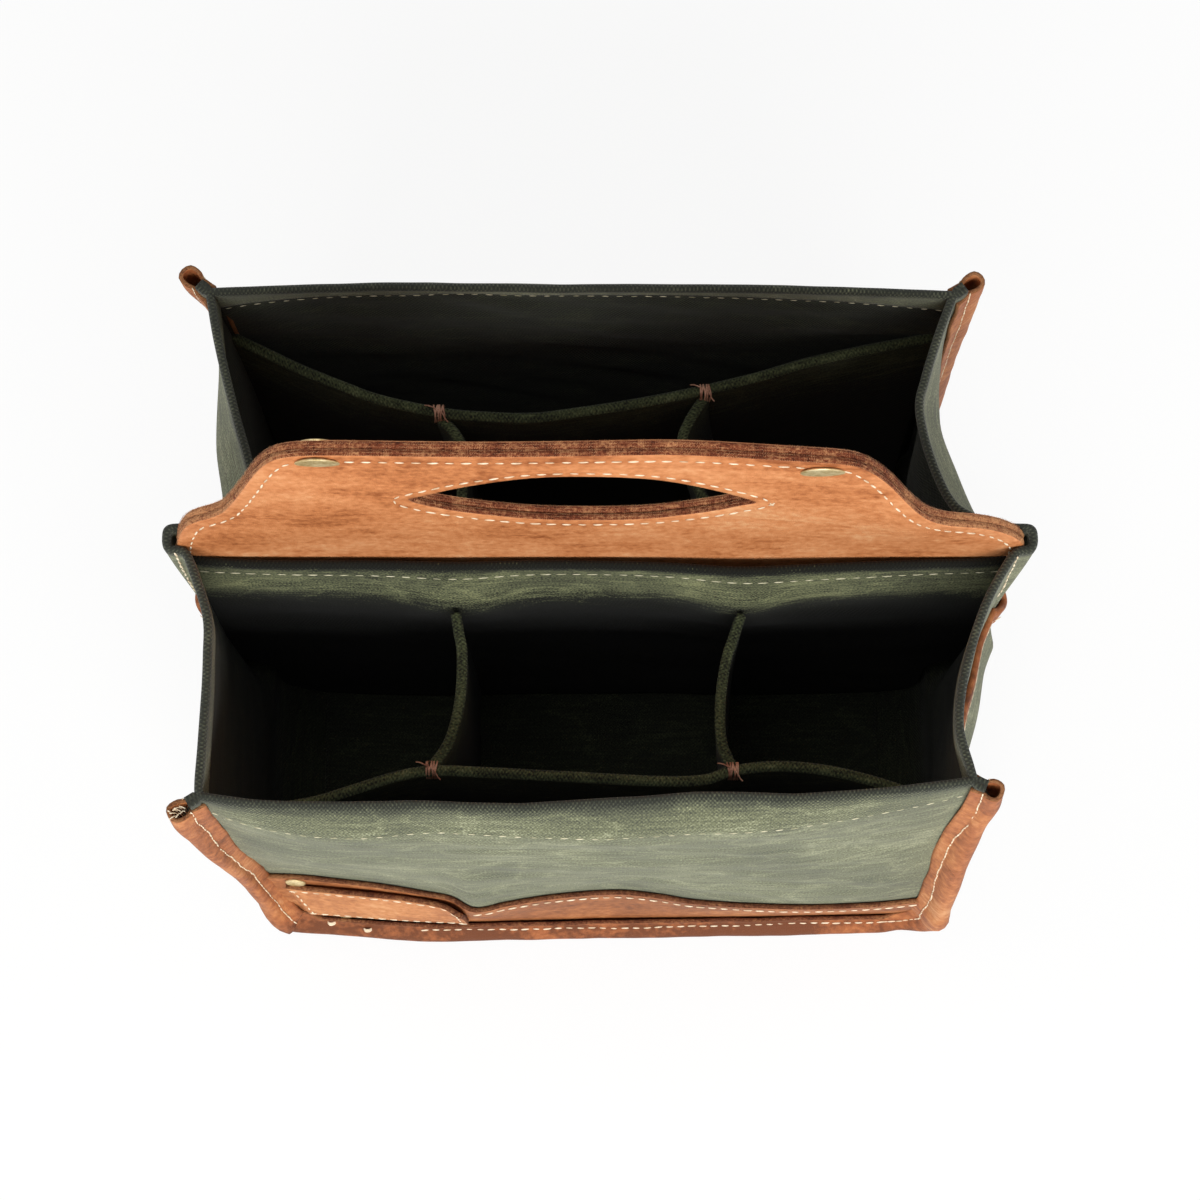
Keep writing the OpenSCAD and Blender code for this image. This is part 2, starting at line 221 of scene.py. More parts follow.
def waxed_canvas(name, shades, seed, depth_painted_shade=None, shine=1.0):
    """shades run from dark to light. depth_painted_shade gives two heights in metres and how far the
    tone is lowered at the first of them, which paints shade on cloth deep inside the bag."""
    material, tree, shader = new_material(name)
    uv = add_node(tree, "ShaderNodeUVMap", uv_map="cloth").outputs["UV"]
    drift = add_node(tree, "ShaderNodeTexNoise", {"Vector": uv, "Scale": 190.0, "Detail": 2.0})
    drift = add_node(tree, "ShaderNodeVectorMath", {
        0: drift.outputs["Color"], 1: (-0.5, -0.5, -0.5)}, operation="ADD")
    drift = add_node(tree, "ShaderNodeVectorMath", {0: drift, 1: THREAD_DRIFT}, operation="MULTIPLY")
    threads = add_node(tree, "ShaderNodeVectorMath", {0: uv, 1: drift}, operation="ADD")
    threads = add_node(tree, "ShaderNodeVectorMath", {
        0: threads, "Scale": math.pi / THREAD_PITCH}, operation="SCALE")
    split = add_node(tree, "ShaderNodeSeparateXYZ", {0: threads})
    warp = add_node(tree, "ShaderNodeMath", {0: split.outputs["X"]}, operation="SINE")
    weft = add_node(tree, "ShaderNodeMath", {0: split.outputs["Y"]}, operation="SINE")
    weave = add_node(tree, "ShaderNodeMath", {0: warp, 1: weft}, operation="MULTIPLY")
    slub_map = add_node(tree, "ShaderNodeMapping", {"Vector": uv, "Scale": (60.0, 900.0, 1.0)})
    slubs = add_node(tree, "ShaderNodeTexNoise", {
        "Vector": slub_map, "Scale": 1.0, "Detail": 2.0, "W": seed}, noise_dimensions="4D")
    wax = add_node(tree, "ShaderNodeTexNoise", {
        "Vector": uv, "Scale": 22.0, "Detail": 6.0, "Roughness": 0.62, "W": seed}, noise_dimensions="4D")
    fleck = add_node(tree, "ShaderNodeTexNoise", {
        "Vector": uv, "Scale": 1400.0, "Detail": 1.0, "W": seed}, noise_dimensions="4D")
    fold = add_node(tree, "ShaderNodeAttribute", attribute_name="fold").outputs["Fac"]
    bent = add_node(tree, "ShaderNodeMapping", {"Vector": uv, "Scale": (30.0, 62.0, 1.0)})
    bent = add_node(tree, "ShaderNodeTexNoise", {
        "Vector": bent, "Scale": 1.0, "Detail": 4.0, "Distortion": 0.6, "W": seed + 4},
        noise_dimensions="4D")
    bent = add_node(tree, "ShaderNodeMath", {0: bent.outputs["Fac"], 1: -0.5}, operation="ADD")
    bent = add_node(tree, "ShaderNodeMath", {0: bent}, operation="ABSOLUTE")
    crease = add_node(tree, "ShaderNodeMapRange", {
        "Value": bent, "From Max": 0.035, "To Min": 1.0, "To Max": 0.0})
    tone = add_node(tree, "ShaderNodeMath", {0: wax.outputs["Fac"], 1: 0.36}, operation="MULTIPLY")
    # On the round fold of a hem the cloth is drawn darker, with more of its weave showing
    fold_weave = add_node(tree, "ShaderNodeMath", {0: weave, 1: fold}, operation="MULTIPLY")
    for part, weight in ((slubs.outputs["Fac"], 0.3), (fleck.outputs["Fac"], 0.5), (fold, -0.36),
                         (fold_weave, 0.14), (weave, 0.05), (crease, 0.07)):
        tone = add_node(tree, "ShaderNodeMath", {0: part, 1: weight, 2: tone}, operation="MULTIPLY_ADD")
    # Painted shade: the tone falls towards the lower height, for cloth in the shadow inside the bag
    if depth_painted_shade:
        low, high, painted_shade = depth_painted_shade
        place = add_node(tree, "ShaderNodeTexCoord").outputs["Object"]
        depth = add_node(tree, "ShaderNodeSeparateXYZ", {0: place}).outputs["Z"]
        depth = add_node(tree, "ShaderNodeMapRange", {
            "Value": depth, "From Min": low, "From Max": high, "To Min": -painted_shade, "To Max": 0.0})
        tone = add_node(tree, "ShaderNodeMath", {0: tone, 1: depth}, operation="ADD")
    colour = blend_colours(tree, tone, list(zip(CANVAS_STOPS, shades)))
    height = add_node(tree, "ShaderNodeMath", {
        0: slubs.outputs["Fac"], 1: 0.8, 2: weave}, operation="MULTIPLY_ADD")
    bump = add_node(tree, "ShaderNodeBump", {
        "Height": height, "Strength": 0.8, "Distance": 0.00014})
    rough = add_node(tree, "ShaderNodeMapRange", {
        "Value": wax.outputs["Fac"], "To Min": 0.72, "To Max": 0.9})
    set_inputs(tree, shader, {
        "Base Color": colour, "Roughness": rough, "Normal": bump, "Specular IOR Level": 0.35 * shine,
        "Sheen Weight": 0.12 * shine, "Sheen Roughness": 0.6})
    return material


canvas = waxed_canvas("waxed_duck_canvas", ("1f2218", "4b4e3c", "6d7053", "989a7c"), 1.0)
# Inside the bag the same cloth is painted dark as shade, and shines less: the divider and the
# strips darken the deeper they hang, and the cells are dark all over
divider_canvas = waxed_canvas(
    "waxed_duck_canvas_of_divider_painted_shade", ("0d0e09", "1a1c12", "6c7050", "94966b"), 5.0,
    depth_painted_shade=(0.117, 0.147, 0.45), shine=0.45)
strip_canvas = waxed_canvas(
    "waxed_duck_canvas_of_strips_painted_shade", ("0d0e09", "15170f", "43492f", "62674a"), 9.0,
    depth_painted_shade=(0.1, 0.138, 0.25), shine=0.5)
painted_shade_cell_canvas = waxed_canvas(
    "waxed_duck_canvas_of_cells_painted_shade", ("10120c", "1b1d15", "282c1e", "3f442e"), 7.0, shine=0.7)

# %% [markdown]
# ## Oiled leather
#
# Pull-up leather is tanned with oils that move when it bends, so it is lighter where it is
# stretched and darker where it is handled. It keeps its pores, scars and fine creases. One
# function makes all four finishes: the thick handle, the base bands, the opener patch and the
# thin bindings. The bindings are painted darker along the floor, and the handle a little darker
# towards its top, both as painted shade.

# %% Oiled leather material
LEATHER_STOPS = (0.36, 0.46, 0.54, 0.64)


def oiled_leather(name, shades, seed, stretch=(1.0, 1.0, 1.0), crease=0.7, painted_shade=None):
    """shades run from dark to light. painted_shade gives two heights in metres and how far the
    tone is lowered at the second of them, which paints shade on the leather."""
    material, tree, shader = new_material(name)
    place = add_node(tree, "ShaderNodeTexCoord").outputs["Object"]
    along = add_node(tree, "ShaderNodeMapping", {"Vector": place, "Scale": stretch})
    cloud = add_node(tree, "ShaderNodeTexNoise", {
        "Vector": along, "Scale": 28.0, "Detail": 7.0, "Roughness": 0.6, "Distortion": 0.4, "W": seed},
        noise_dimensions="4D")
    streak = add_node(tree, "ShaderNodeTexNoise", {
        "Vector": along, "Scale": 150.0, "Detail": 5.0, "Roughness": 0.65, "W": seed + 3},
        noise_dimensions="4D")
    pores = add_node(tree, "ShaderNodeTexVoronoi", {
        "Vector": place, "Scale": 950.0, "Randomness": 1.0}, feature="DISTANCE_TO_EDGE")
    spots = add_node(tree, "ShaderNodeTexNoise", {
        "Vector": place, "Scale": 420.0, "Detail": 2.0, "W": seed + 9}, noise_dimensions="4D")
    tone = add_node(tree, "ShaderNodeMath", {0: cloud.outputs["Fac"], 1: 0.5}, operation="MULTIPLY")
    for part, weight in ((streak, 0.24), (spots, 0.26)):
        tone = add_node(tree, "ShaderNodeMath", {
            0: part.outputs["Fac"], 1: weight, 2: tone}, operation="MULTIPLY_ADD")
    wrinkle = add_node(tree, "ShaderNodeMapping", {"Vector": along, "Scale": (9.0, 40.0, 48.0)})
    wrinkle = add_node(tree, "ShaderNodeTexNoise", {
        "Vector": wrinkle, "Scale": 1.0, "Detail": 5.0, "Distortion": 0.5, "W": seed + 6},
        noise_dimensions="4D")
    wrinkle = add_node(tree, "ShaderNodeMath", {0: wrinkle.outputs["Fac"], 1: -0.5}, operation="ADD")
    wrinkle = add_node(tree, "ShaderNodeMath", {0: wrinkle}, operation="ABSOLUTE")
    wrinkle = add_node(tree, "ShaderNodeMapRange", {
        "Value": wrinkle, "From Max": 0.025, "To Min": -0.035, "To Max": 0.0})
    tone = add_node(tree, "ShaderNodeMath", {0: tone, 1: wrinkle}, operation="ADD")
    # Painted shade: the tone falls between the two heights
    if painted_shade:
        first, second, by = painted_shade
        at = add_node(tree, "ShaderNodeSeparateXYZ", {0: place})
        at = add_node(tree, "ShaderNodeMapRange", {
            "Value": at.outputs["Z"], "From Min": first, "From Max": second, "To Max": -by})
        tone = add_node(tree, "ShaderNodeMath", {0: tone, 1: at}, operation="ADD")
    colour = blend_colours(tree, tone, list(zip(LEATHER_STOPS, shades)))
    edge = add_node(tree, "ShaderNodeMapRange", {
        "Value": pores.outputs["Distance"], "From Max": 0.12, "To Min": 0.0, "To Max": 1.0})
    height = add_node(tree, "ShaderNodeMath", {
        0: edge, 1: 0.35, 2: streak.outputs["Fac"]}, operation="MULTIPLY_ADD")
    height = add_node(tree, "ShaderNodeMath", {
        0: wrinkle, 1: 7.0, 2: height}, operation="MULTIPLY_ADD")
    bump = add_node(tree, "ShaderNodeBump", {
        "Height": height, "Strength": crease, "Distance": 0.0003})
    rough = add_node(tree, "ShaderNodeMapRange", {
        "Value": cloud.outputs["Fac"], "To Min": 0.5, "To Max": 0.74})
    set_inputs(tree, shader, {
        "Base Color": colour, "Roughness": rough, "Normal": bump, "Specular IOR Level": 0.28})
    return material


# The handle is painted a little darker towards its top, as painted shade
handle_leather = oiled_leather(
    "oiled_handle_leather", ("96542b", "c27a49", "d48e5c", "e0a878"), 2.0, (0.8, 1.0, 1.25),
    painted_shade=(0.215, 0.262, 0.05))
band_leather = oiled_leather("oiled_band_leather", ("6b3c1f", "8f5630", "a8693d", "c48b5b"), 6.0)
patch_leather = oiled_leather("oiled_patch_leather", ("854c28", "ab6b3e", "c38250", "d39c6c"), 15.0)
# The bindings are painted darker near the floor, as painted shade
trim_leather = oiled_leather(
    "oiled_binding_leather", ("6d3c20", "a15f37", "bb7848", "d09a6c"), 11.0,
    painted_shade=(0.026, 0.008, 0.13))

# %% [markdown]
# ## Cut leather edges
#
# A cut edge shows the inside of the hide: dark red-brown where the oil has soaked in, with
# pale fibres that lie along the edge. Two noises stretched along the edge give both.

# %% Cut edge material
def cut_edge(name, shades, seed):
    """Raw cut leather, a little lighter towards the two ears of the handle."""
    material, tree, shader = new_material(name)
    place = add_node(tree, "ShaderNodeTexCoord").outputs["Object"]
    along = add_node(tree, "ShaderNodeMapping", {"Vector": place, "Scale": (0.75, 1.0, 1.0)})
    ears = add_node(tree, "ShaderNodeSeparateXYZ", {0: place})
    ears = add_node(tree, "ShaderNodeMath", {0: ears.outputs["X"]}, operation="ABSOLUTE")
    ears = add_node(tree, "ShaderNodeMapRange", {
        "Value": ears, "From Min": 0.085, "From Max": 0.115, "To Max": 0.1})
    fibres = add_node(tree, "ShaderNodeTexNoise", {
        "Vector": along, "Scale": 1300.0, "Detail": 4.0, "Roughness": 0.75, "W": seed},
        noise_dimensions="4D")
    clumps = add_node(tree, "ShaderNodeTexNoise", {
        "Vector": place, "Scale": 160.0, "Detail": 3.0, "W": seed + 2}, noise_dimensions="4D")
    tone = add_node(tree, "ShaderNodeMath", {0: clumps.outputs["Fac"], 1: 0.3}, operation="MULTIPLY")
    tone = add_node(tree, "ShaderNodeMath", {
        0: fibres.outputs["Fac"], 1: 0.7, 2: tone}, operation="MULTIPLY_ADD")
    tone = add_node(tree, "ShaderNodeMath", {0: tone, 1: ears}, operation="ADD")
    colour = blend_colours(tree, tone, list(zip((0.4, 0.5, 0.62), shades)))
    bump = add_node(tree, "ShaderNodeBump", {
        "Height": fibres.outputs["Fac"], "Strength": 1.0, "Distance": 0.0007})
    set_inputs(tree, shader, {
        "Base Color": colour, "Normal": bump, "Roughness": 0.85, "Specular IOR Level": 0.25})
    return material


handle_edge = cut_edge("cut_handle_edge", ("4a2010", "7d3e23", "c48b5e"), 4.0)
trim_edge = cut_edge("cut_binding_edge", ("4a2715", "70412a", "9a6a45"), 8.0)

# %% [markdown]
# ## Thread and brass
#
# The seams are sewn with thick waxed cotton, cream on the leather and hems and copper pink at
# the bar tacks. The rivets are brass that has gone dull, with brighter rubbed tops.

# %% Thread and brass materials
def waxed_thread(name, dark, light):
    """Waxed cotton, unevenly soiled between two colours."""
    material, tree, shader = new_material(name)
    place = add_node(tree, "ShaderNodeTexCoord").outputs["Object"]
    soil = add_node(tree, "ShaderNodeTexNoise", {"Vector": place, "Scale": 300.0, "Detail": 3.0})
    colour = blend_colours(tree, soil.outputs["Fac"], [(0.35, dark), (0.6, light)])
    set_inputs(tree, shader, {"Base Color": colour, "Roughness": 0.7})
    return material


cream_thread = waxed_thread("waxed_cotton_thread", "cdb492", "f2e4c8")
hem_thread = waxed_thread("green_stained_cotton_thread", "a7a384", "d8d0b2")
leather_fibre = waxed_thread("loose_leather_fibre", "8f4f30", "cf9a6c")
copper_thread = waxed_thread("copper_pink_thread", "8a5946", "c0927a")


def antique_brass():
    """Dull brass, rougher where it has tarnished."""
    material, tree, shader = new_material("antique_brass")
    place = add_node(tree, "ShaderNodeTexCoord").outputs["Object"]
    tarnish = add_node(tree, "ShaderNodeTexNoise", {
        "Vector": place, "Scale": 260.0, "Detail": 5.0, "Roughness": 0.7})
    colour = blend_colours(tree, tarnish.outputs["Fac"], [(0.35, "b3985e"), (0.62, "eddcae")])
    rough = add_node(tree, "ShaderNodeMapRange", {
        "Value": tarnish.outputs["Fac"], "To Min": 0.62, "To Max": 0.42})
    set_inputs(tree, shader, {"Base Color": colour, "Roughness": rough, "Metallic": 0.65})
    return material


brass = antique_brass()

# %% [markdown]
# ## From a grid of points to a sheet
#
# Every sheet in the bag is a grid: rows run from its top to its bottom and columns run from
# its left to its right. The helper below makes the quads, lays a UV map whose units are
# metres along the cloth, and gives the sheet its thickness with a Solidify modifier. The rim
# that this makes can have its own material, for leather that has been cut.

# %% Sheet helpers
def sheet(name, points, thickness, material, rim=None, flip=False, fold=None, lining=None):
    """A sheet through a grid of points in millimetres, shape (rows, columns, 3). fold says how
    close each row is to a hem's fold, where the cloth is drawn darker, and lining is the
    material of the sheet's other face."""
    rows, columns = points.shape[:2]
    across = np.linalg.norm(np.diff(points, axis=1), axis=2)
    u = np.concatenate([np.zeros((rows, 1)), np.cumsum(across, axis=1)], axis=1)
    u -= u[:, columns // 2][:, None]
    down = np.linalg.norm(np.diff(points[:, columns // 2], axis=0), axis=1)
    v = np.concatenate([[0], np.cumsum(down)])
    mesh = bpy.data.meshes.new(name)
    index = np.arange(rows * columns).reshape(rows, columns)
    quads = np.stack([index[:-1, :-1], index[1:, :-1], index[1:, 1:], index[:-1, 1:]], axis=-1)
    quads = quads.reshape(-1, 4)
    if flip:
        quads = quads[:, ::-1]
    mesh.from_pydata((points.reshape(-1, 3) * MM).tolist(), [], quads.tolist())
    layer = mesh.uv_layers.new(name="cloth")
    uv = np.stack([u, np.repeat(v[:, None], columns, axis=1)], axis=-1).reshape(-1, 2) * MM
    layer.data.foreach_set("uv", uv[quads.reshape(-1)].reshape(-1))
    if fold is not None:
        fold_layer = mesh.attributes.new("fold", "FLOAT", "POINT")
        fold_layer.data.foreach_set("value", np.repeat(fold, columns))
    mesh.shade_smooth()
    mesh.materials.append(material)
    made = put_in_scene(name, mesh)
    solid = made.modifiers.new("thickness", "SOLIDIFY")
    solid.thickness = thickness * MM
    solid.offset = 0
    solid.use_quality_normals = True
    if lining is not None:
        mesh.materials.append(lining)
        solid.material_offset = 1
    if rim is not None:
        mesh.materials.append(rim)
        solid.material_offset_rim = 1
    return made


def face_outwards(mesh):
    """Turns the faces of a closed mesh so that they all point out."""
    turning = bmesh.new()
    turning.from_mesh(mesh)
    bmesh.ops.recalc_face_normals(turning, faces=turning.faces)
    turning.to_mesh(mesh)
    turning.free()


def settle(made, slot, *nodes):
    """The bag is one body. The piece stands for the CAD nodes that it replaces."""
    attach(made, "root")
    if nodes:
        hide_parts(*nodes)
    return made


# Name of the floor's canvas piece
FLOOR_PIECE = "floor_canvas"


def settle_cloth(made, points, slot, node, held, below):
    """Settles a canvas piece in place of its CAD node."""
    settle(made, slot, node)


def wander(x, y, z, size, seed):
    """Smooth noise from -1 to 1 on arrays of places in millimetres."""
    x, y, z = np.broadcast_arrays(x, y, z)
    out = np.empty(x.shape)
    for i, (a, b, c) in enumerate(zip(x.flat, y.flat, z.flat)):
        out.flat[i] = noise.noise(Vector((a / size + seed, b / size - seed, c / size + 2 * seed)))
    return out


def ease(x, low, high):
    """0 below low, 1 above high, and smooth between."""
    t = np.clip((x - low) / (high - low), 0, 1)
    return t * t * (3 - 2 * t)


def through(points, steps):
    """Smooth curve through given points, with a number of steps for each gap."""
    points = np.array(points, float)
    padded = np.vstack([2 * points[0] - points[1], points, 2 * points[-1] - points[-2]])
    out = []
    for i in range(1, len(padded) - 2):
        p0, p1, p2, p3 = padded[i - 1:i + 3]
        for k in range(steps):
            t = k / steps
            out.append(0.5 * (2 * p1 + (p2 - p0) * t + (2 * p0 - 5 * p1 + 4 * p2 - p3) * t ** 2
                              + (3 * p1 - p0 - 3 * p2 + p3) * t ** 3))
    out.append(padded[-2])
    return np.array(out)


# %% [markdown]
# ## How the bag stands
#
# The rim has sunk and moved a little to the left over the floor, and each panel bellies out
# below its hem. Both are written once, as functions of height, and every layer that lies on
# a wall calls the same function with its own distance from it. That is what keeps a band on
# its panel and a binding on its seam.

# %% The four corner seams
# Place of each corner seam at the rim, by side and face
RIM_CORNER = {(-1, -1): (-124, -82.5), (1, -1): (116, -79), (-1, 1): (-128, 85), (1, 1): (116, 84)}
# How slowly each side's shift to the left is lost on the way down
SHIFT_FADE = {-1: 1.5, 1: 0.35}
FOOT_DEPTH = 87.5


def seam_run(t):
    """Half width, height and angle of the seam's path after a run t from the rim."""
    t = np.asarray(t, float)
    angle = np.clip((t - SIDE_RUN) / CORNER_R, 0, math.pi / 2)
    half = CORNER_X + CORNER_R * np.cos(angle)
    z = np.where(t < SIDE_RUN, RIM - t, CORNER_Z - CORNER_R * np.sin(angle))
    return half, z, angle


def rise(z):
    """0 at the floor and 1 at the rim."""
    return np.clip((z - FLOOR) / (RIM - FLOOR), 0, 1)


def seam_shift(side, face, z):
    """How far a corner seam has moved sideways at a height. The leather pulls the front ones in."""
    if side > 0:
        pull = -3.0 * ease(z, 9, 38) * (1 - ease(z, 110, RIM))
    else:
        pull = 3.2 * np.exp(-((z - 22) / 17) ** 2)
    at_rim = RIM_CORNER[side, face][0] - side * HALF_W
    return at_rim * rise(z) ** SHIFT_FADE[side] + pull * (face < 0)


def seam_depth(side, face, z):
    """Distance of a corner seam from the middle plane at a height."""
    top = abs(RIM_CORNER[side, face][1])
    return FOOT_DEPTH + (top - FOOT_DEPTH) * rise(z) ** 1.4


# %% [markdown]
# ## Front and back walls
#
# A panel is pulled tight at its seams and slack between them. Its wall is the plane of the two
# seams, plus a belly, plus shallow folds from noise. The front wall is seen best, so the lines
# of its band and its floor seam are written down as pairs of places, and the wall passes
# through them.

# %% The front and back walls
# Depth of the front wall along the top of its leather band, which leans in on the left and
# out on the right, and along the floor: pairs of x and depth
BAND_LINE = through([(-128, 81), (-121, 80.8), (-106, 81.6), (-94, 82.8), (-77, 84.8), (-62, 87.1),
                     (-52, 89.1), (-44, 93.3), (-34, 91.3), (-24, 89.6), (-12, 88.2), (6, 86.8),
                     (20, 88.1), (31, 89.9), (42, 90.9), (56, 91.9), (71, 92.4), (86, 92.0),
                     (101, 90.9), (116, 89.2), (128, 88.1)], 8)
FOOT_LINE = through([(-128, 85.4), (-120, 85.6), (-94, 87.4), (-63, 89.4), (-30, 88.9), (0, 88.2),
                     (55, 87.4), (92, 86.6), (120, 86.0), (128, 86.0)], 8)
# The front rim is pulled about: x, extra depth at its edge and extra depth at its stitches
FRONT_RIM = np.array([(-124, 1.2, 1.2), (-108, 1.8, 1.8), (-90, 1.7, 1.9), (-76, 1.5, 1.7),
                      (-60, 1.2, 0.3), (-51, 1.6, -0.4), (-24, 2.5, 1.4), (0, 1.2, 2.3),
                      (30, -0.2, 0.9), (60, 1.3, 1.5), (90, 0.9, 0.2), (114, -0.1, -0.1)])
# Swellings of the back panel: how far out, at which x and z, and how wide and high
BACK_SWELLS = ((3.0, -20, 90, 60, 40), (-2.0, 40, 60, 30, 30))
# How far a panel bellies out at its middle, at which heights
BELLY_Z = [FLOOR, 22, 50, 110, 150, 165, 173, 179, RIM]
BELLY_OUT = [3, 5, 7.5, 9, 10.5, 11.6, 10.8, 7, 3.5]


def belly(u, z, face):
    """Bulge of a panel beyond the plane of its seams."""
    height = np.interp(z, BELLY_Z, BELLY_OUT)
    if face > 0:
        height = height * 0.5
    out = height * (1 - np.abs(u) ** np.where(u < 0, 4.8, 2.8))
    if face > 0:
        for size, x0, z0, wide, high in BACK_SWELLS:
            swell = np.exp(-((u * HALF_W - x0) / wide) ** 2 - ((z - z0) / high) ** 2)
            out = out + size * swell * (1 - u ** 4)
    return out


def creases(x, z, face):
    """Soft folds that run across a panel."""
    fade = ease(z, 45, 75) * (1 - 0.6 * ease(z, RIM - 26, RIM - 8))
    slope = x * 0.14 + 10 * np.sin(x / 47.0 + face)
    folds = wander(x / 4.2, face * 40.0, z + slope, 11.0, 1.7)
    small = wander(x / 2.2, face * 90.0, z + 0.5 * slope, 5.5, 6.1)
    return fade * (1.25 * folds + 0.45 * small)


def panel_wall(face, u, t):
    """Points of the front (-1) or back (1) panel at u across and a run t down."""
    u, t = np.broadcast_arrays(np.asarray(u, float), np.asarray(t, float))
    half, z, _ = seam_run(t)
    left = (1 - u) / 2
    shift = seam_shift(-1, face, z) * left + seam_shift(1, face, z) * (1 - left)
    depth = seam_depth(-1, face, z) * left + seam_depth(1, face, z) * (1 - left)
    x = u * half + shift
    depth = depth + belly(u, z, face)
    if face < 0:
        band_depth = np.interp(x, BAND_LINE[:, 0], BAND_LINE[:, 1])
        foot_depth = np.interp(x, FOOT_LINE[:, 0], FOOT_LINE[:, 1])
        low = (ease(z, FLOOR, BAND_Z) + np.clip((z - FLOOR) / (BAND_Z - FLOOR), 0, 1)) / 2
        high = ease(z, BAND_Z - 2, 132)
        depth = (foot_depth * (1 - low) + band_depth * low) * (1 - high) + depth * high
        at_edge = ease(z, RIM - 9, RIM)
        pulled = [np.interp(x, FRONT_RIM[:, 0], FRONT_RIM[:, k]) for k in (1, 2)]
        depth = depth + pulled[0] * at_edge + pulled[1] * ease(z, RIM - 34, RIM - 11) * (1 - at_edge)
    depth = depth + creases(x, z, face) * (1 - u ** 6)
    return np.stack([x, face * depth, z], axis=-1)


for depth in (11.0, 130.0):
    print("middle of the front wall", depth, "mm down:", panel_wall(-1, 0.0, depth).round(1))

# %% [markdown]
# ## Working on a wall
#
# The layers on a wall are all placed by two numbers on it and a distance out from it. The
# direction out comes from the wall itself: two short steps on it give two directions, and
# their cross product stands square to both.

# %% Distance out from a wall
MIDDLE = np.array([0.0, 0.0, 90.0])


def outward(surface, u, t):
    """Unit directions square to a wall and away from the middle of the bag."""
    u, t = np.broadcast_arrays(np.asarray(u, float), np.asarray(t, float))
    across = surface(u + 0.004, t) - surface(u - 0.004, t)
    down = surface(u, t + 0.8) - surface(u, t - 0.8)
    normal = np.cross(down, across)
    normal = normal / np.maximum(np.linalg.norm(normal, axis=-1, keepdims=True), 1e-9)
    facing = np.sum(normal * (surface(u, t) - MIDDLE))
    return normal * (1.0 if facing > 0 else -1.0)


def lay(surface, u, t, out):
    """Points at a distance out from a wall."""
    u, t, out = np.broadcast_arrays(np.asarray(u, float), np.asarray(t, float), np.asarray(out, float))
    return surface(u, t) + outward(surface, u, t) * out[..., None]


def hem_fold(t):
    """1 on the round fold of a hem and 0 a few millimetres below it."""
    return np.exp(-np.maximum(t - 0.4, 0) / 1.5)


def turned_hem(deep, end, step, gap=1.35):
    """Runs and distances out of a cloth edge that is turned inwards: up, over and down."""
    inside = [(deep, -gap), (deep - 1.5, -gap), (deep * 0.6, -gap), (3.0, -gap - 0.1),
              (1.2, -gap - 0.15)]
    fold = [(0.35, -gap), (0.0, -gap * 0.72), (-0.1, -gap / 2), (0.0, -gap * 0.28), (0.35, 0.0)]
    outside = [(1.2, 0.15), (3.0, 0.1)]
    below = [(t, 0.0) for t in np.arange(5.0, end, step)] + [(end, 0.0)]
    rows = np.array(inside + fold + outside + below)
    return rows[:, 0], rows[:, 1]


# %% [markdown]
# ## The seams that stand outward
#
# At each corner the panel and the gusset turn out together into a flange about a centimetre
# wide. At the rim it lies almost sideways, because the bag is pulled open there, and lower
# down it stands at 45 degrees. Along the floor it hangs down, and the bag stands on it.

# %% Flange directions
# Angle of each flange from the panel's own plane, by side and face: at the rim, lower down, at
# the foot, and how far below the rim it has turned from the first to the second
RIM_ANGLE = {(-1, -1): 33, (1, -1): 25, (-1, 1): 40, (1, 1): 36}
LOW_ANGLE = {(-1, -1): 56, (1, -1): 50, (-1, 1): 80, (1, 1): 45}
TURNED_BY = {(-1, -1): 85, (1, -1): 85, (-1, 1): 42, (1, 1): 85}
FOOT_ANGLE = 30


def flange(side, face, t):
    """Directions along a corner flange and square to it, towards the panel's outer side."""
    _, _, angle = seam_run(t)
    rim_angle, low_angle = RIM_ANGLE[side, face], LOW_ANGLE[side, face]
    lean = rim_angle + (low_angle - rim_angle) * ease(t, 5, TURNED_BY[side, face])
    lean = np.radians(lean + (FOOT_ANGLE - low_angle) * ease(t, SIDE_RUN, EDGE_RUN))
    edge = np.stack([side * np.cos(angle), np.zeros_like(angle), -np.sin(angle)], axis=-1)
    front = np.array([0.0, float(face), 0.0])
    along = np.cos(lean)[..., None] * edge + np.sin(lean)[..., None] * front
    square = -np.sin(lean)[..., None] * edge + np.cos(lean)[..., None] * front
    return along, square


def flange_points(side, face, t, s, q):
    """Points on a flange: s outward from the seam and q towards the panel's outer side."""
    t, s, q = np.broadcast_arrays(np.asarray(t, float), np.asarray(s, float), np.asarray(q, float))
    along, square = flange(side, face, t)
    seam = panel_wall(face, float(side), t)
    return seam + along * s[..., None] + square * q[..., None]


# Distances out from the seam at which a flange has its columns
FLANGE_STEPS = np.array([1.6, 4.0, 6.8, 9.3])
# Rows of a hemmed sheet that lie on the inside of its hem
INNER_ROWS = 8


def slimness(side, face, t):
    """How much of a binding's outer part is missing at a depth: the front ones vary in width."""
    if face > 0:
        return 0.0 * t
    if side < 0:
        return 0.48 * ease(t, 15, 80) * (1 - ease(t, EDGE_RUN - 32, EDGE_RUN - 13))
    wide = np.exp(-((t - EDGE_RUN + 42) / 14) ** 2)
    cut = np.exp(-((t - EDGE_RUN + 6) / 8) ** 2)
    return 0.28 * np.exp(-((t - 30) / 18) ** 2) - 0.3 * wide + 0.25 * cut


def flange_reach(side, face, t):
    """Steps out along a flange. At the rim the cloth is cut back, so the binding is hollow there."""
    narrow = 1 - 0.8 * np.maximum(0, slimness(side, face, t))
    return FLANGE_STEPS[None, :] * ((0.36 + 0.64 * ease(t, 5, 20)) * narrow)[:, None]


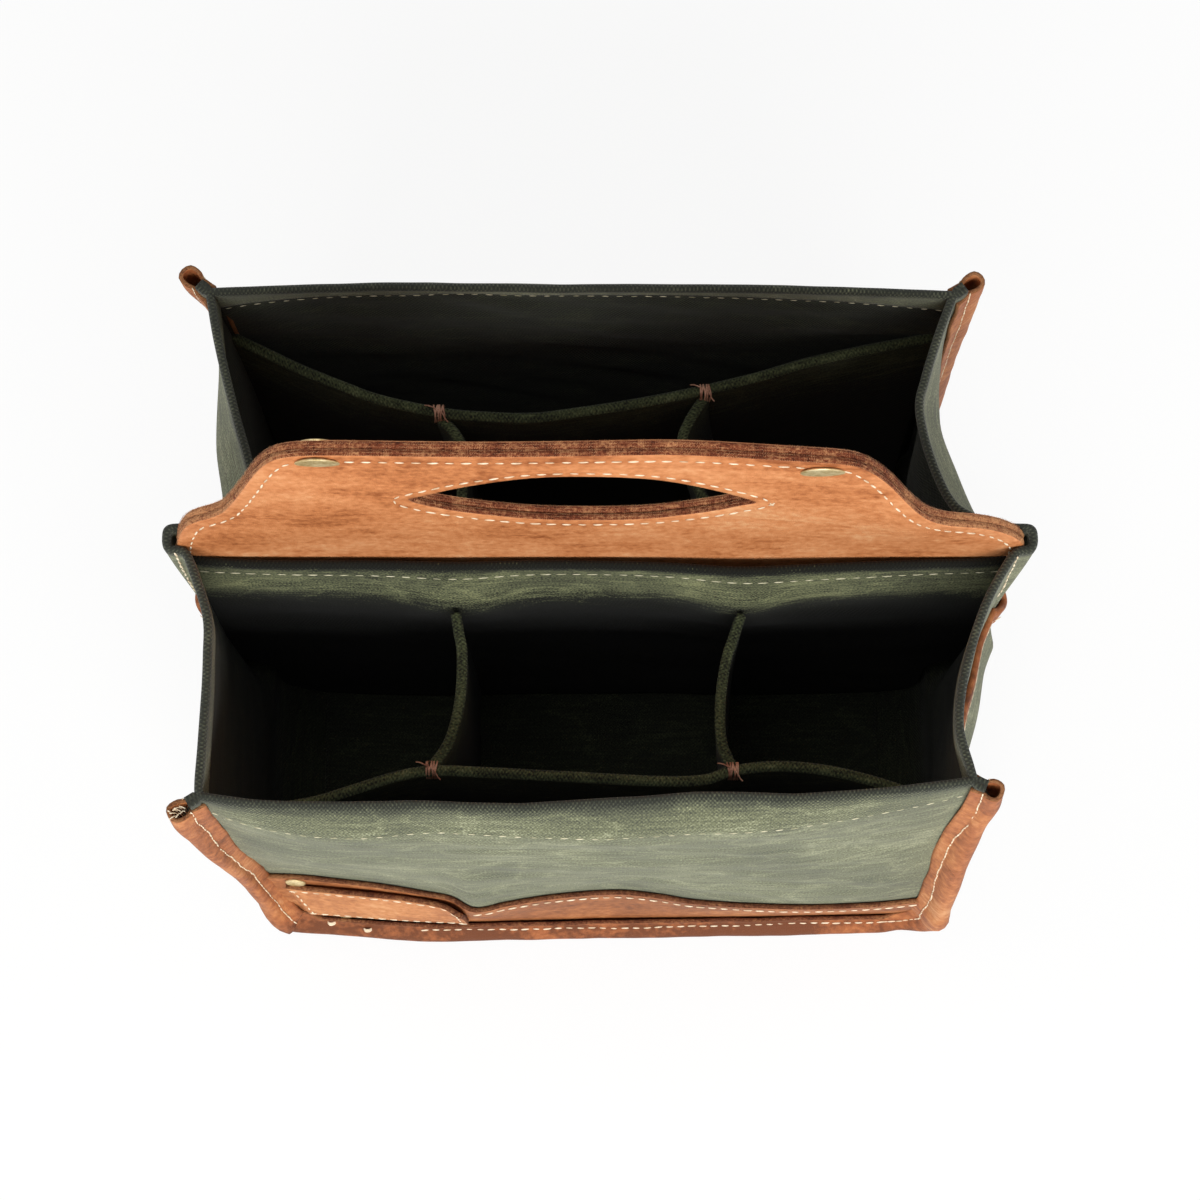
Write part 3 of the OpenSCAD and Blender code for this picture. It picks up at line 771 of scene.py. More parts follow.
def half_gap(t):
    """How far a hemmed sheet lies from the middle of its flange. At the rim the hems hold it off."""
    inner = np.arange(len(t)) < INNER_ROWS
    return np.where(inner, 0.4, 0.62 + 0.75 * (1 - ease(t, 9, 16)))


def with_flanges(wall, first, last, t, q):
    """A wall's grid with its flanges added, at the (side, face) corners of its two ends."""
    added = []
    for corner, column in ((first, 0), (last, -1)):
        added.append(flange_points(*corner, t[:, None], flange_reach(*corner, t), q[:, None]))
        wall[:, column] = flange_points(*corner, t, 0.3, q)
    return np.concatenate([added[0][:, ::-1], wall, added[1]], axis=1)


# %% [markdown]
# ## Front and back panels
#
# Each panel is one sheet with a hem turned to the inside. The grid runs up the inside of the
# hem, over the fold and down the outside to the floor, so the fold is round like cloth. Its
# outer columns continue into the flanges. Quads of about 2.5 mm carry the folds well.

# %% Make the panels
HEM = 12.0
across_u = np.concatenate([[-1.0, -0.992], np.linspace(-0.98, 0.98, 99), [0.992, 1.0]])


def panel(name, face):
    """The front (-1) or back (1) panel and its points."""
    t, out = turned_hem(HEM, EDGE_RUN, 2.4)
    wall = lay(partial(panel_wall, face), across_u[None, :], t[:, None], out[:, None])
    points = with_flanges(wall, (-1, face), (1, face), t, half_gap(t))
    # The inner face is the cells' cloth, painted dark as shade inside the bag
    made = sheet(name, points, CANVAS, canvas, flip=face > 0, fold=hem_fold(t), lining=painted_shade_cell_canvas)
    return made, points


for face, word in ((-1, "front"), (1, "back")):
    settle_cloth(*panel(word + "_panel_canvas", face), "canvas", word + "_panel", "stretched",
                 FLOOR_PIECE)

# %% [markdown]
# ## Gussets
#
# A gusset is a canvas side wall. In the middle it is folded outward into a ridge round the
# ear of the handle, so from above it is a wavy line with a narrow loop in it. The line is
# chosen at three heights, at the rim, at half height and at the floor, and the wall runs
# smoothly between them.

# %% Gusset shape
# Plan lines of the gussets, from the front seam round the ridge to the back seam
RIGHT_RIM = ((116, -79), (114.5, -73), (112, -62), (113, -49), (116, -37), (121.5, -23), (128, -11),
             (132, -5.2), (136.6, -3.9), (138.0, 0), (136.6, 3.9), (129, 4.6), (118, 7.5), (110.5, 13),
             (105, 28), (102, 44), (104.5, 54), (110, 69), (116, 84))
RIGHT_MID = ((118, -85), (119, -76), (119.5, -61), (120.5, -43), (124, -28), (126.5, -16), (129.5, -8.6),
             (131.4, -4.8), (132.9, -3.5), (133.6, 0), (132.9, 3.5), (131, 5), (126.5, 8.5), (119, 15),
             (111, 29), (107.5, 43), (111.5, 60), (115.5, 74), (118, 85))
LEFT_RIM = ((-124, -82.5), (-124.2, -77), (-123.6, -65), (-123.2, -50), (-123.4, -38), (-124, -26),
            (-128.5, -12), (-131.5, -5.2), (-136.6, -3.9), (-138.0, 0), (-136.6, 3.9), (-128, 4.8),
            (-115.5, 8.5), (-109.5, 16), (-111.5, 27), (-116, 41), (-121, 57), (-125, 71), (-128, 85))
LEFT_MID = ((-122, -85), (-123, -76), (-124.5, -61), (-125, -43), (-126, -28), (-128, -16),
            (-130.2, -8.6), (-131.6, -4.8), (-132.8, -3.5), (-133.4, 0), (-132.8, 3.5), (-131.2, 5),
            (-127, 8.5), (-119.5, 15), (-117.5, 29), (-119, 43), (-120.5, 60), (-121, 74), (-122.5, 85))
FOOT_Y = (-87.5, -80, -66, -52, -38, -26, -17, -10, -5, 0, 5, 10, 17, 26, 38, 52, 66, 80, 87.5)
PLAN_STEPS = 12
PLANS = {}
for side, rim_plan, mid_plan in ((1, RIGHT_RIM, RIGHT_MID), (-1, LEFT_RIM, LEFT_MID)):
    foot_plan = [(side * (CORNER_X + CORNER_R + 0.8 * (1 - (y / FOOT_DEPTH) ** 2)), y) for y in FOOT_Y]
    PLANS[side] = [through(plan, PLAN_STEPS) for plan in (rim_plan, mid_plan, foot_plan)]
PLAN_COUNT = len(PLANS[1][0])


def gusset_wall(side, s, t):
    """Points of a gusset at s from 0, the front seam, to 1, the back seam, and a run t down."""
    s, t = np.broadcast_arrays(np.asarray(s, float), np.asarray(t, float))
    half, z, _ = seam_run(t)
    place = np.clip(s, 0, 1) * (PLAN_COUNT - 1)
    count = np.arange(PLAN_COUNT)
    rim, mid, foot = (np.stack([np.interp(place, count, plan[:, k]) for k in (0, 1)], axis=-1)
                      for plan in PLANS[side])
    ridge = np.exp(-((s - 0.5) / 0.13) ** 4)
    to_rim = ease(z, 104, RIM + 6)
    to_foot = (1 - ease(z, CORNER_Z, 108)) * (1 - ridge) + (1 - ease(z, 30, 47)) * ridge
    to_rim, to_foot = to_rim[..., None], to_foot[..., None]
    plan = mid * (1 - to_rim - to_foot) + rim * to_rim + foot * to_foot
    plan[..., 0] += side * (half - HALF_W)
    for face, near in ((-1, 1 - ease(s, 0.0, 0.22)), (1, ease(s, 0.78, 1.0))):
        seam = panel_wall(face, float(side), t)[..., :2]
        end = [np.stack([part[0 if face < 0 else -1, k] + 0 * t for k in (0, 1)], axis=-1)
               for part in PLANS[side]]
        flat_foot = (1 - ease(z, CORNER_Z, 108))[..., None]
        there = end[1] * (1 - to_rim - flat_foot) + end[0] * to_rim + end[2] * flat_foot
        there[..., 0] += side * (half - HALF_W)
        plan = plan + (seam - there) * near[..., None]
    smooth = np.sin(np.clip(s, 0, 1) * math.pi) * (1 - ridge) * ease(z, 30, 60)
    fold = wander(side * 60.0, plan[..., 1] / 3.0, z + 0.25 * plan[..., 1], 13.0, 3.3)
    under_rim = np.exp(-((z - 155) / 19) ** 2) * ease(s, 0.6, 0.7) * (1 - ease(s, 0.78, 1.0))
    plan[..., 0] = plan[..., 0] + side * (1.1 * smooth * fold + 10.5 * under_rim)
    return np.concatenate([plan, z[..., None]], axis=-1)


for depth in (1.0, 70.0):
    print("right ridge", depth, "mm down:", gusset_wall(1, 0.5, depth).round(1))

# %% Make the gussets
along_s = np.concatenate([[0.0, 0.006], np.linspace(0.014, 0.33, 32), np.linspace(0.34, 0.66, 53),
                          np.linspace(0.67, 0.986, 32), [0.994, 1.0]])
# The foot of the gussets and pockets turns down past the floor's edge by this much
FOOT_DROP = 1.2


def drop_foot(wall, t):
    """Lets the foot of a side wall down over the floor's edge."""
    wall[..., 2] -= FOOT_DROP * ease(t, EDGE_RUN - 6, EDGE_RUN)[:, None]


def gusset(name, side):
    """The left (-1) or right (1) gusset and its points."""
    t, out = turned_hem(HEM, EDGE_RUN + 3.0, 2.4)
    wall = lay(partial(gusset_wall, side), along_s[None, :], t[:, None], out[:, None])
    drop_foot(wall, t)
    points = with_flanges(wall, (side, -1), (side, 1), t, -half_gap(t))
    # The inner face is the cells' cloth, painted dark as shade inside the bag
    made = sheet(name, points, CANVAS, canvas, flip=side < 0, fold=hem_fold(t), lining=painted_shade_cell_canvas)
    return made, points


for side, word in ((1, "right"), (-1, "left")):
    settle_cloth(*gusset(word + "_gusset_canvas", side), "canvas", word + "_gusset", "folded",
                 FLOOR_PIECE)

# %% [markdown]
# ## Floor
#
# The floor is one more piece of canvas between the four seams. It sags a little in the
# middle, but it never reaches the table, because the seams along its edges hold it up.

# %% Make the floor
floor_v = np.linspace(0, 1, 41)[:, None]
floor_u = np.linspace(-1.02, 1.02, 61)[None, :]
floor_front = panel_wall(-1, floor_u, EDGE_RUN + 0 * floor_u)
floor_back = panel_wall(1, floor_u, EDGE_RUN + 0 * floor_u)
floor_points = floor_back * (1 - floor_v[..., None]) + floor_front * floor_v[..., None]
FLOOR_SAG = 2.2
sag = np.sin(floor_v * math.pi) * np.cos(floor_u * math.pi / 2.1)
floor_points[..., 2] += 0.2 - FLOOR_SAG * sag
floor_points[..., 2] += 0.5 * sag * wander(floor_points[..., 0], floor_points[..., 1], 0.0, 38.0, 2.0)
for row, face in ((0, 1), (-1, -1)):
    hang, square = flange(1, face, np.array(EDGE_RUN))
    strips = [floor_points[row] + hang * s - square * 0.65 for s in FLANGE_STEPS]
    strips = np.stack(strips[::-1] if row == 0 else strips)
    floor_points = np.concatenate([strips, floor_points] if row == 0 else [floor_points, strips])
# The floor is the cells' cloth, painted dark as shade, with the plain canvas on its other face
bottom = sheet(FLOOR_PIECE, floor_points, CANVAS, painted_shade_cell_canvas, lining=canvas)
settle_cloth(bottom, floor_points, "canvas", "bottom_panel", "stretched", "front_long_binding")

# %% [markdown]
# ## Walls that hang between two lines
#
# The divider plies, the cell strips and the cross dividers are all cloth that hangs from one
# plan line at its top to another at the floor. One function does for all of them.

# %% Hanging cloth
def inside_x(z, in_ridge):
    """Half the width between the gussets, which are rounded at the foot and wider at the ridge."""
    below = np.clip(CORNER_Z - z, 0, CORNER_R - 0.3)
    room = 15.0 * ease(z, 42, 64) if in_ridge else 6.3 * ease(z, 50, 140)
    return HALF_W - 1.7 + room - (CORNER_R - np.sqrt(CORNER_R ** 2 - below ** 2))


def hanging(top_plan, foot_plan, top_z, foot_z, in_ridge=False, steps=14):
    """A wall function between two plan lines with the same number of points. Its ends are drawn
    in where they would come through the gussets."""
    top = through(top_plan, steps)
    foot = through(foot_plan, steps)
    count = np.linspace(0, 1, len(top))

    def wall(u, t):
        """Points of the hanging cloth."""
        u, t = np.broadcast_arrays(np.asarray(u, float), np.asarray(t, float))
        z = top_z - t
        mix = ease(z, foot_z, top_z + 8)[..., None]
        high = np.stack([np.interp(u, count, top[:, k]) for k in (0, 1)], axis=-1)
        low = np.stack([np.interp(u, count, foot[:, k]) for k in (0, 1)], axis=-1)
        x, y = np.moveaxis(high * mix + low * (1 - mix), -1, 0)
        ends = [np.abs(top[k, 0] * mix[..., 0] + foot[k, 0] * (1 - mix[..., 0])) for k in (0, -1)]
        reach = np.where(x < 0, *ends)
        x = x - np.sign(x) * np.maximum(0, reach - inside_x(z, in_ridge)) * (np.abs(x) / reach) ** 6
        return np.stack([x, y, z], axis=-1)

    return wall


# %% [markdown]
# ## Centre divider
#
# The divider's two plies lie in front of and behind the handle leather. Their ends are
# caught in the gusset ridges. Between these they hang slack, a few millimetres off the
# leather, and the cross dividers pull them a little to the front.

# %% Make the divider plies
FRONT_PLY_TOP = ((-134, -3.4), (-131, -4.1), (-122, -4.8), (-96, -5.4), (-60, -5.6), (-20, -5.5),
                 (20, -6.0), (46, -6.8), (80, -6.4), (106, -5.4), (124, -4.7), (131, -4.1), (134, -3.4))
FRONT_PLY_FOOT = ((-132, -3.4), (-128, -3.4), (-118, -3.6), (-96, -4.5), (-60, -5.0), (-20, -4.0),
                  (20, -4.0), (46, -5.0), (80, -4.5), (106, -4.0), (118, -3.6), (128, -3.4), (132, -3.4))
PLY_TOP_Z = RIM - 10.6
PLY_HEM = 10.0


def divider_wall(face, u, t):
    """Points of a divider ply. The back one is the mirror image of the front one."""
    base = hanging(FRONT_PLY_TOP, FRONT_PLY_FOOT, PLY_TOP_Z, FLOOR, in_ridge=True)
    points = base(u, t)
    x, z = points[..., 0], points[..., 2]
    pull = sum(np.exp(-((x - x0) / 17) ** 2) for x0 in (-46, 46)) * np.exp(-((z - 136) / 26) ** 2)
    held = 1 - ease(np.abs(x), 112, 133)
    folds = wander(x / 4.0, face * 30.0, z + 0.1 * x, 15.0, 4.4)
    points[..., 1] -= (4.2 * pull + 1.0 * folds) * held
    if face > 0:
        points[..., 1] *= -0.8
    return points


def divider_ply(name, face):
    """The front (-1) or back (1) ply of the divider and its points."""
    t, out = turned_hem(PLY_HEM, PLY_TOP_Z - FLOOR - 0.9, 2.6)
    u = np.linspace(0.0, 1.0, 111)
    wall = lay(partial(divider_wall, face), u[None, :], t[:, None], out[:, None])
    return sheet(name, wall, CANVAS, divider_canvas, flip=face > 0, fold=hem_fold(t)), wall


for face, word in ((-1, "front"), (1, "back")):
    settle_cloth(*divider_ply("divider_" + word + "_canvas", face), "divider_canvas",
                 "divider_" + word + "_ply", "hung", "right_gusset_canvas")

# %% [markdown]
# ## Cell strips and cross dividers
#
# A strip runs from corner to corner behind each outer panel, and two cross dividers join it
# to the centre, which makes three cells on each side. All are canvas folded double, with the
# fold on top, so their upper edges are thick and round.

# %% Make the strips and cross dividers
def folded_double(name, wall, deep, columns, gap=1.4):
    """Canvas folded over a plan line: down both sides from a round top edge."""
    down = np.concatenate([[0.5, 1.4, 3.0, 5.5], np.arange(9.0, deep, 5.0), [deep]])
    swell = 0.55 * np.exp(-down / 5.0)
    t = np.concatenate([down[::-1], [0.08, -0.15, 0.08], down])
    out = np.concatenate([-(gap / 2 + swell)[::-1], [-gap * 0.45, 0, gap * 0.45], gap / 2 + swell])
    u = np.linspace(0, 1, columns)
    points = lay(wall, u[None, :], t[:, None], out[:, None])
    return sheet(name, points, CANVAS, strip_canvas), points


# Plan lines of the strips' upper edges, from left to right
FRONT_STRIP = ((-121.5, -81), (-109, -79), (-93, -76.5), (-80, -72.5), (-66, -68), (-54, -66),
               (-38, -66.5), (-10, -68), (19, -69.5), (34, -69), (43, -66), (58, -64.5), (74, -66),
               (90, -70), (104, -75), (113.5, -78.5))
BACK_STRIP = ((-125, 84.5), (-114, 79), (-101, 72.5), (-87, 66.5), (-74, 61.5), (-54, 57), (-40, 55.5),
              (-23, 55), (-7, 57), (14, 60.5), (35, 65), (54, 70), (70, 75), (91, 80), (106, 83),
              (113.5, 84.5))
STRIP_DEEP = CELL_Z - FLOOR - 1.4


def straight_foot(plan, y):
    """The same line at the floor, where it lies straighter."""
    return [(x * 0.97, y + 0.15 * (py - y)) for x, py in plan]


for word, line, foot_y, above in (("front", FRONT_STRIP, -71, 1.5), ("back", BACK_STRIP, 71, 3)):
    strip_wall = hanging(line, straight_foot(line, foot_y), CELL_Z + above, FLOOR)
    settle_cloth(*folded_double(word + "_strip_canvas", strip_wall, STRIP_DEEP, 101), "canvas",
                 word + "_cell_strip", "folded", FLOOR_PIECE)

# Plan line of each cross divider's upper edge, from the centre outwards
CROSS_PLANS = {
    "front_left": ((-47.5, -12.8), (-46.5, -19), (-45.2, -27), (-45.8, -43), (-49, -56), (-54.5, -64.6)),
    "front_right": ((46.5, -13.2), (43.5, -22), (41, -30), (39.2, -43), (39.4, -56), (43, -65.2)),
    "back_left": ((-46, 10.5), (-46.5, 20), (-46, 32), (-45.5, 43), (-48.5, 50), (-54, 56)),
    "back_right": ((43, 10.5), (38, 20), (32, 33), (27.5, 46), (29.5, 54), (35.4, 63.8)),
}
for name, plan in CROSS_PLANS.items():
    side, face = np.sign(plan[0])
    foot = [(side * 46.0, face * y) for y in (5.4, 18, 31, 44, 57, 69.2)]
    cross_wall = hanging(plan, foot, CELL_Z + 0.5, FLOOR)
    settle_cloth(*folded_double(name + "_divider_canvas", cross_wall, STRIP_DEEP, 41), "canvas",
                 name + "_cell_divider", "folded", "divider_" + name.split("_")[0] + "_canvas")

# %% [markdown]
# ## Side pockets and their leather trims
#
# A second layer of canvas covers the lower two thirds of each gusset and is open at the top,
# where a narrow piece of leather is folded over its edge. It stands off the gusset at the
# ridge, which leaves the dark gap that the photograph shows.

# %% Make the pockets and trims
MOUTH_RUN = RIM - POCKET_Z
# A pocket's distance from the middle of its flanges
POCKET_GAP = -1.7


def stand_off(side, s, t):
    """Distance of a pocket from its gusset: it gapes at the ridge and bellies below its mouth."""
    near_mouth = np.exp(-np.maximum(t - MOUTH_RUN, 0) / 26.0)
    at_ridge = np.exp(-((s - 0.5) / 0.055) ** 2)
    free = ease(s, 0.02, 0.2) * (1 - ease(s, 0.36, 0.46))
    free = free + ease(s, 0.54, 0.64) * (1 - ease(s, 0.8, 0.98))
    lip = np.exp(-((t - MOUTH_RUN) / 8) ** 2)
    full = np.exp(-((t - MOUTH_RUN - 33) / 13) ** 2)
    out = 2.2 * near_mouth * at_ridge + (0.3 * lip + 6.0 * full) * free
    return 1.35 + out * (1 if side > 0 else 0.4)


def pocket_run(side, s, t):
    """Distance below the rim on a side pocket. Its mouth sags at the ridge."""
    sag = np.exp(-((s - 0.5) / 0.06) ** 2) * np.exp(-np.maximum(t - MOUTH_RUN, 0) / 20.0)
    return t + (7.0 if side > 0 else 3.0) * sag


def pocket(name, side):
    """The canvas of a side pocket and its points."""
    below = np.arange(MOUTH_RUN + 4.0, EDGE_RUN, 2.6)
    t = np.concatenate([[MOUTH_RUN, MOUTH_RUN + 1.5], below, [EDGE_RUN]])
    s = along_s[None, :]
    run = pocket_run(side, s, t[:, None])
    wall = lay(partial(gusset_wall, side), s, run, stand_off(side, s, t[:, None]))
    drop_foot(wall, t)
    points = with_flanges(wall, (side, -1), (side, 1), t, POCKET_GAP + 0 * t)
    return sheet(name, points, CANVAS, canvas, flip=side < 0), points


def pocket_trim(name, side):
    """The leather folded over a pocket's mouth: down outside, round the edge and down inside."""
    outer_leg = np.array([12.0, 11.2, 9.0, 6.0, 3.0, 0.8])
    inner_leg = np.array([0.8, 3.0, 6.0, 8.0])
    t = MOUTH_RUN + np.concatenate([outer_leg, [0.0, -0.7, -1.0, -0.7, 0.0], inner_leg])
    out = np.concatenate([[0.85] * 6, [0.8, 0.55, 0.0, -0.55, -0.8], [-0.85] * 4])
    s = along_s[2:-2][None, :]
    run = pocket_run(side, s, t[:, None])
    middle = stand_off(side, s, np.maximum(t, MOUTH_RUN)[:, None])
    points = lay(partial(gusset_wall, side), s, run, middle + out[:, None])
    return sheet(name, points, POCKET_TRIM_SHEET, trim_leather, rim=trim_edge, flip=side > 0)


for side, word in ((-1, "left"), (1, "right")):
    settle_cloth(*pocket(word + "_pocket_canvas", side), "canvas", word + "_side_pocket", "hung",
                 word + "_gusset_canvas")
    settle(pocket_trim(word + "_pocket_leather_trim", side), "trim_leather", word + "_pocket_trim")

# %% [markdown]
# ## Leather bands
#
# A band of leather is sewn over the foot of the front and back panels. It is the panel's
# wall again, one canvas and half a leather thickness further out, down to the floor seam.

# %% Make the bands
def uneven(u, face):
    """The wavy line that a band's upper edge and its sewing follow across a panel."""
    return 0.7 * np.sin(u * 9.0 + face) + 0.35 * np.sin(u * 23.0)


def band(name, face):
    """The leather band of the front (-1) or back (1) panel."""
    top = RIM - BAND_Z
    t = np.concatenate([[top, top + 0.8], np.arange(top + 3.0, EDGE_RUN, 2.2), [EDGE_RUN]])
    u = np.concatenate([[-0.992], np.linspace(-0.98, 0.98, 121), [0.992]])
    lower = t[:, None] + uneven(u, face)[None, :] * (1 - ease(t, top, top + 20))[:, None]
    out = CANVAS / 2 + BAND / 2 + 0.1 + 0.1 * np.exp(-(lower - lower[0]) / 3.0)
    points = lay(partial(panel_wall, face), u[None, :], lower, out)
    return sheet(name, points, BAND_SHEET, band_leather, rim=trim_edge, flip=face > 0)


for face, word in ((-1, "front"), (1, "back")):
    settle(band(word + "_leather_band", face), "band_leather", word + "_base_band")

# %% [markdown]
# ## Leather bindings
#
# A strip of thin leather is folded over each flange and sewn through. The sewing pinches it,
# and past the stitches it stays round, so each binding ends at the rim in an open tube. On
# the front panel one strip runs along the floor and up the right, and a second comes down the
# left and lies over its end. The back panel is the same, turned round.

# %% Path round a panel
PATH = 2 * EDGE_RUN + 2 * CORNER_X
# How far outside the seam a binding is sewn, and how far one that overlaps another is lifted
SEWN_AT = 3.7
LIFT = 1.7


def round_panel(face, w):
    """Seam points, the two flange directions and the depth below the rim at runs w along the
    path, which goes down the left seam, along the floor and up the right one."""
    w = np.asarray(w, float)
    left_t = np.clip(w, None, EDGE_RUN)
    right_t = np.clip(PATH - w, None, EDGE_RUN)
    on_left = w < EDGE_RUN
    on_right = w > PATH - EDGE_RUN
    x = np.clip(w - EDGE_RUN - CORNER_X, -CORNER_X, CORNER_X)
    seam = panel_wall(face, x / CORNER_X, EDGE_RUN + 0 * w)
    foot_sine, foot_cosine = math.sin(math.radians(FOOT_ANGLE)), math.cos(math.radians(FOOT_ANGLE))
    along = np.zeros(w.shape + (3,)) + [0, face * foot_sine, -foot_cosine]
    square = np.zeros(w.shape + (3,)) + [0, face * foot_cosine, foot_sine]
    for side, here, t in ((-1, on_left, left_t), (1, on_right, right_t)):
        edge_along, edge_square = flange(side, face, t)
        edge_seam = panel_wall(face, float(side), t)
        seam = np.where(here[:, None], edge_seam, seam)
        along = np.where(here[:, None], edge_along, along)
        square = np.where(here[:, None], edge_square, square)
    depth = np.minimum(np.where(on_left, left_t, EDGE_RUN), np.where(on_right, right_t, EDGE_RUN))
    return seam, along, square, depth


def curl(depth, strong):
    """How much narrower a binding is near the rim, where it curls in."""
    return 1 - (0.2 if strong else 0.06) * np.exp(-(np.maximum(depth, 0) / 13.0) ** 2)


def leg_height(depth):
    """How far a binding's leg stands off the middle of the flange where it is sewn."""
    return 1.95 + 0.2 * (1 - ease(depth, 9, 16))


def over_band(z):
    """The front of the flange is thicker at the foot, where the leather band is in the seam too."""
    return 1.5 * (1 - ease(z, BAND_Z - 6, BAND_Z + 4))


def rim_rise(depth):
    """How much a binding climbs outwards near the rim, for each millimetre from its seam."""
    return 0.22 * np.exp(-np.maximum(depth, 0) / 12.0)


# %% Make the bindings
# Columns of a binding's leg, as distances out from the seam and how far each stands off
LEG_OUT = (-0.9, 0.3, 1.6, 2.8, SEWN_AT, 4.6, 5.8, 7.2, 8.5)
LEG_BULGE = (0.35, 0.2, 0.1, -0.02, -0.22, 0.0, 0.3, 0.42, 0.3)
TIP_ANGLES = (60, 30, 0, -30, -60)


def binding(name, face, start, end, lifted=None, seed=1.0):
    """A folded strip of leather from one run of the path round a panel to another."""
    w = np.concatenate([[start], np.arange(start + 0.8, end - 0.4, 1.9), [end]])
    seam, along, square, depth = round_panel(face, w)
    sewn = leg_height(depth)
    tube = np.exp(-np.maximum(depth, 0) / 16.0)
    short = curl(depth, face < 0 and end > PATH / 2)
    slim = np.where(w < PATH / 2, slimness(-1, face, depth), slimness(1, face, depth))
    slim = slim * (1 - ease(depth, EDGE_RUN - 8, EDGE_RUN))
    stand = ease(depth, EDGE_RUN - 9, EDGE_RUN - 2)
    inner = wander(w, seed * 31.0, face * 17.0, 14.0, seed) * 0.7
    width = wander(w, seed * 13.0, face * 41.0, 30.0, seed + 4) * 0.6
    lift = np.zeros_like(w)
    if lifted:
        lift = LIFT * ease(w, *lifted) if lifted[0] < lifted[1] else LIFT * (1 - ease(w, *lifted[::-1]))
    raised = lift + over_band(seam[:, 2])
    columns = []
    for sign in (1, -1):
        leg = []
        for k, (s, b) in enumerate(zip(LEG_OUT, LEG_BULGE)):
            reach = s + (inner if k == 0 else 0) + width * (s / 9.0)
            reach = (reach - slim * np.maximum(0, reach - SEWN_AT)) * short
            extra = 0.35 * tube * max(0.0, min(1.0, (s - SEWN_AT) / 2.2))
            pucker = 0.14 * np.sin(w * 2 * math.pi / 4.1 + sign) * math.exp(-((s - SEWN_AT) / 1.6) ** 2)
            q = sign * (sewn + b + extra + pucker) + (raised if sign > 0 else 0)
            q = q + stand * max(0.0, 1.5 - 0.6 * (s + 0.9)) * (sign > 0)
            row = seam + along * reach[:, None] + square * q[:, None]
            row[:, 2] -= (3.5 if s < 3 and sign < 0 else 0) * np.exp(-np.maximum(depth, 0) / 6.0)
            leg.append(row)
        columns += leg if sign > 0 else leg[::-1]
        if sign > 0:
            tip_q = sewn + 0.3 + 0.35 * tube
            for angle in TIP_ANGLES:
                a = math.radians(angle)
                q = tip_q * math.sin(a) + raised * (0.5 + 0.5 * math.sin(a))
                reach = 8.6 + width + 2.0 * math.cos(a)
                reach = (reach - slim * (reach - SEWN_AT)) * short
                columns.append(seam + along * reach[:, None] + square * q[:, None])
    points = np.stack(columns, axis=1)
    dents = wander(points[..., 0], points[..., 1], points[..., 2], 9.0, seed) * 0.28
    points = points + square[:, None, :] * dents[..., None]
    from_seam = np.linalg.norm(points - seam[:, None, :], axis=2)
    points[..., 2] += rim_rise(depth)[:, None] * from_seam
    points[..., 2] = np.maximum(points[..., 2], TRIM / 2 + 0.02)
    return sheet(name, points, BINDING_SHEET, trim_leather, rim=trim_edge, flip=face < 0)


OVERLAP = (EDGE_RUN - 29, EDGE_RUN - 20)
FAR_OVERLAP = (PATH - EDGE_RUN + 29, PATH - EDGE_RUN + 20)
for node, word, face, start, end, lifted, seed in (
        ("front_binding", "front_long", -1, EDGE_RUN - 24, PATH - 2.0, None, 1.3),
        ("front_binding_left", "front_left", -1, 3.5, EDGE_RUN - 13, OVERLAP, 2.9),
        ("back_binding", "back_long", 1, 1.5, PATH - EDGE_RUN + 24, None, 4.1),
        ("back_binding_right", "back_right", 1, PATH - EDGE_RUN + 13, PATH - 2.5, FAR_OVERLAP, 5.7)):
    settle(binding(word + "_binding", face, start, end, lifted, seed), "trim_leather", node)
print("binding path round a panel:", round(PATH), "mm")

# %% [markdown]
# ## Handle
#
# The handle panel is cut from two layers of thick leather, sewn together round the outline
# and round the pointed hand hole. It is a ring of points: each ray from the middle of the
# hole crosses the hole's edge and the outline. The cut edges get rows of their own, pushed
# about at random, because thick leather cut by hand has a rough, fibrous edge.

# %% Handle outline and hand hole
# x and z round the leather, from the upper left by the left ear, the foot and the right ear
HANDLE_OUTLINE = through([
    (-60, 263.6), (-82, 263.5), (-91.5, 261.4), (-96.6, 256.6), (-101.2, 248), (-107, 233),
    (-111.5, 221), (-115.2, 212.5), (-119.5, 207.2), (-124, 204), (-128, 200), (-131.4, 191.5),
    (-134, 180), (-135.5, 168), (-133.6, 150), (-131.5, 124), (-120, 120.6), (-60, 120.2),
    (0, 120.2), (60, 120.2), (120, 120.6), (131, 124), (133.2, 150), (134.3, 178),
    (131.6, 187.5), (126, 195.5), (117.2, 203), (109, 208.6), (100, 218), (92, 231),
    (84.4, 245.6), (77.6, 256.2), (71, 261.2), (58, 262.8), (28, 263.2), (-16, 263.4)], 1)
HOLE_MIDDLE = np.array([-5.0, 227.0])
HOLE_SHAPE = [(52.0, -3.0), (47, 2.2), (36, 9.4), (20, 16.6), (2, 19.4), (-16, 18.8), (-34, 12.6),
              (-47, 5.0), (-52.5, 1.0), (-48, -4.4), (-36, -11.4), (-18, -17.6), (0, -19.6),
              (20, -18.6), (38, -12.2), (47.5, -6.4)]


def closed_curve(points, spacing):
    """Smooth closed curve through points, resampled at an even spacing."""
    points = np.array(points, float)
    wrapped = np.vstack([points[-2:], points, points[:3]])
    dense = through(wrapped, 14)[28:28 + 14 * len(points)]
    loop = np.vstack([dense, dense[:1]])
    run = np.concatenate([[0], np.cumsum(np.linalg.norm(np.diff(loop, axis=0), axis=1))])
    count = int(run[-1] / spacing)
    even = np.linspace(0, run[-1], count, endpoint=False)
    return np.stack([np.interp(even, run, loop[:, k]) for k in (0, 1)], axis=-1)


outline = closed_curve(HANDLE_OUTLINE, 1.6)
hole_loop = closed_curve([HOLE_MIDDLE + p for p in HOLE_SHAPE], 0.5)


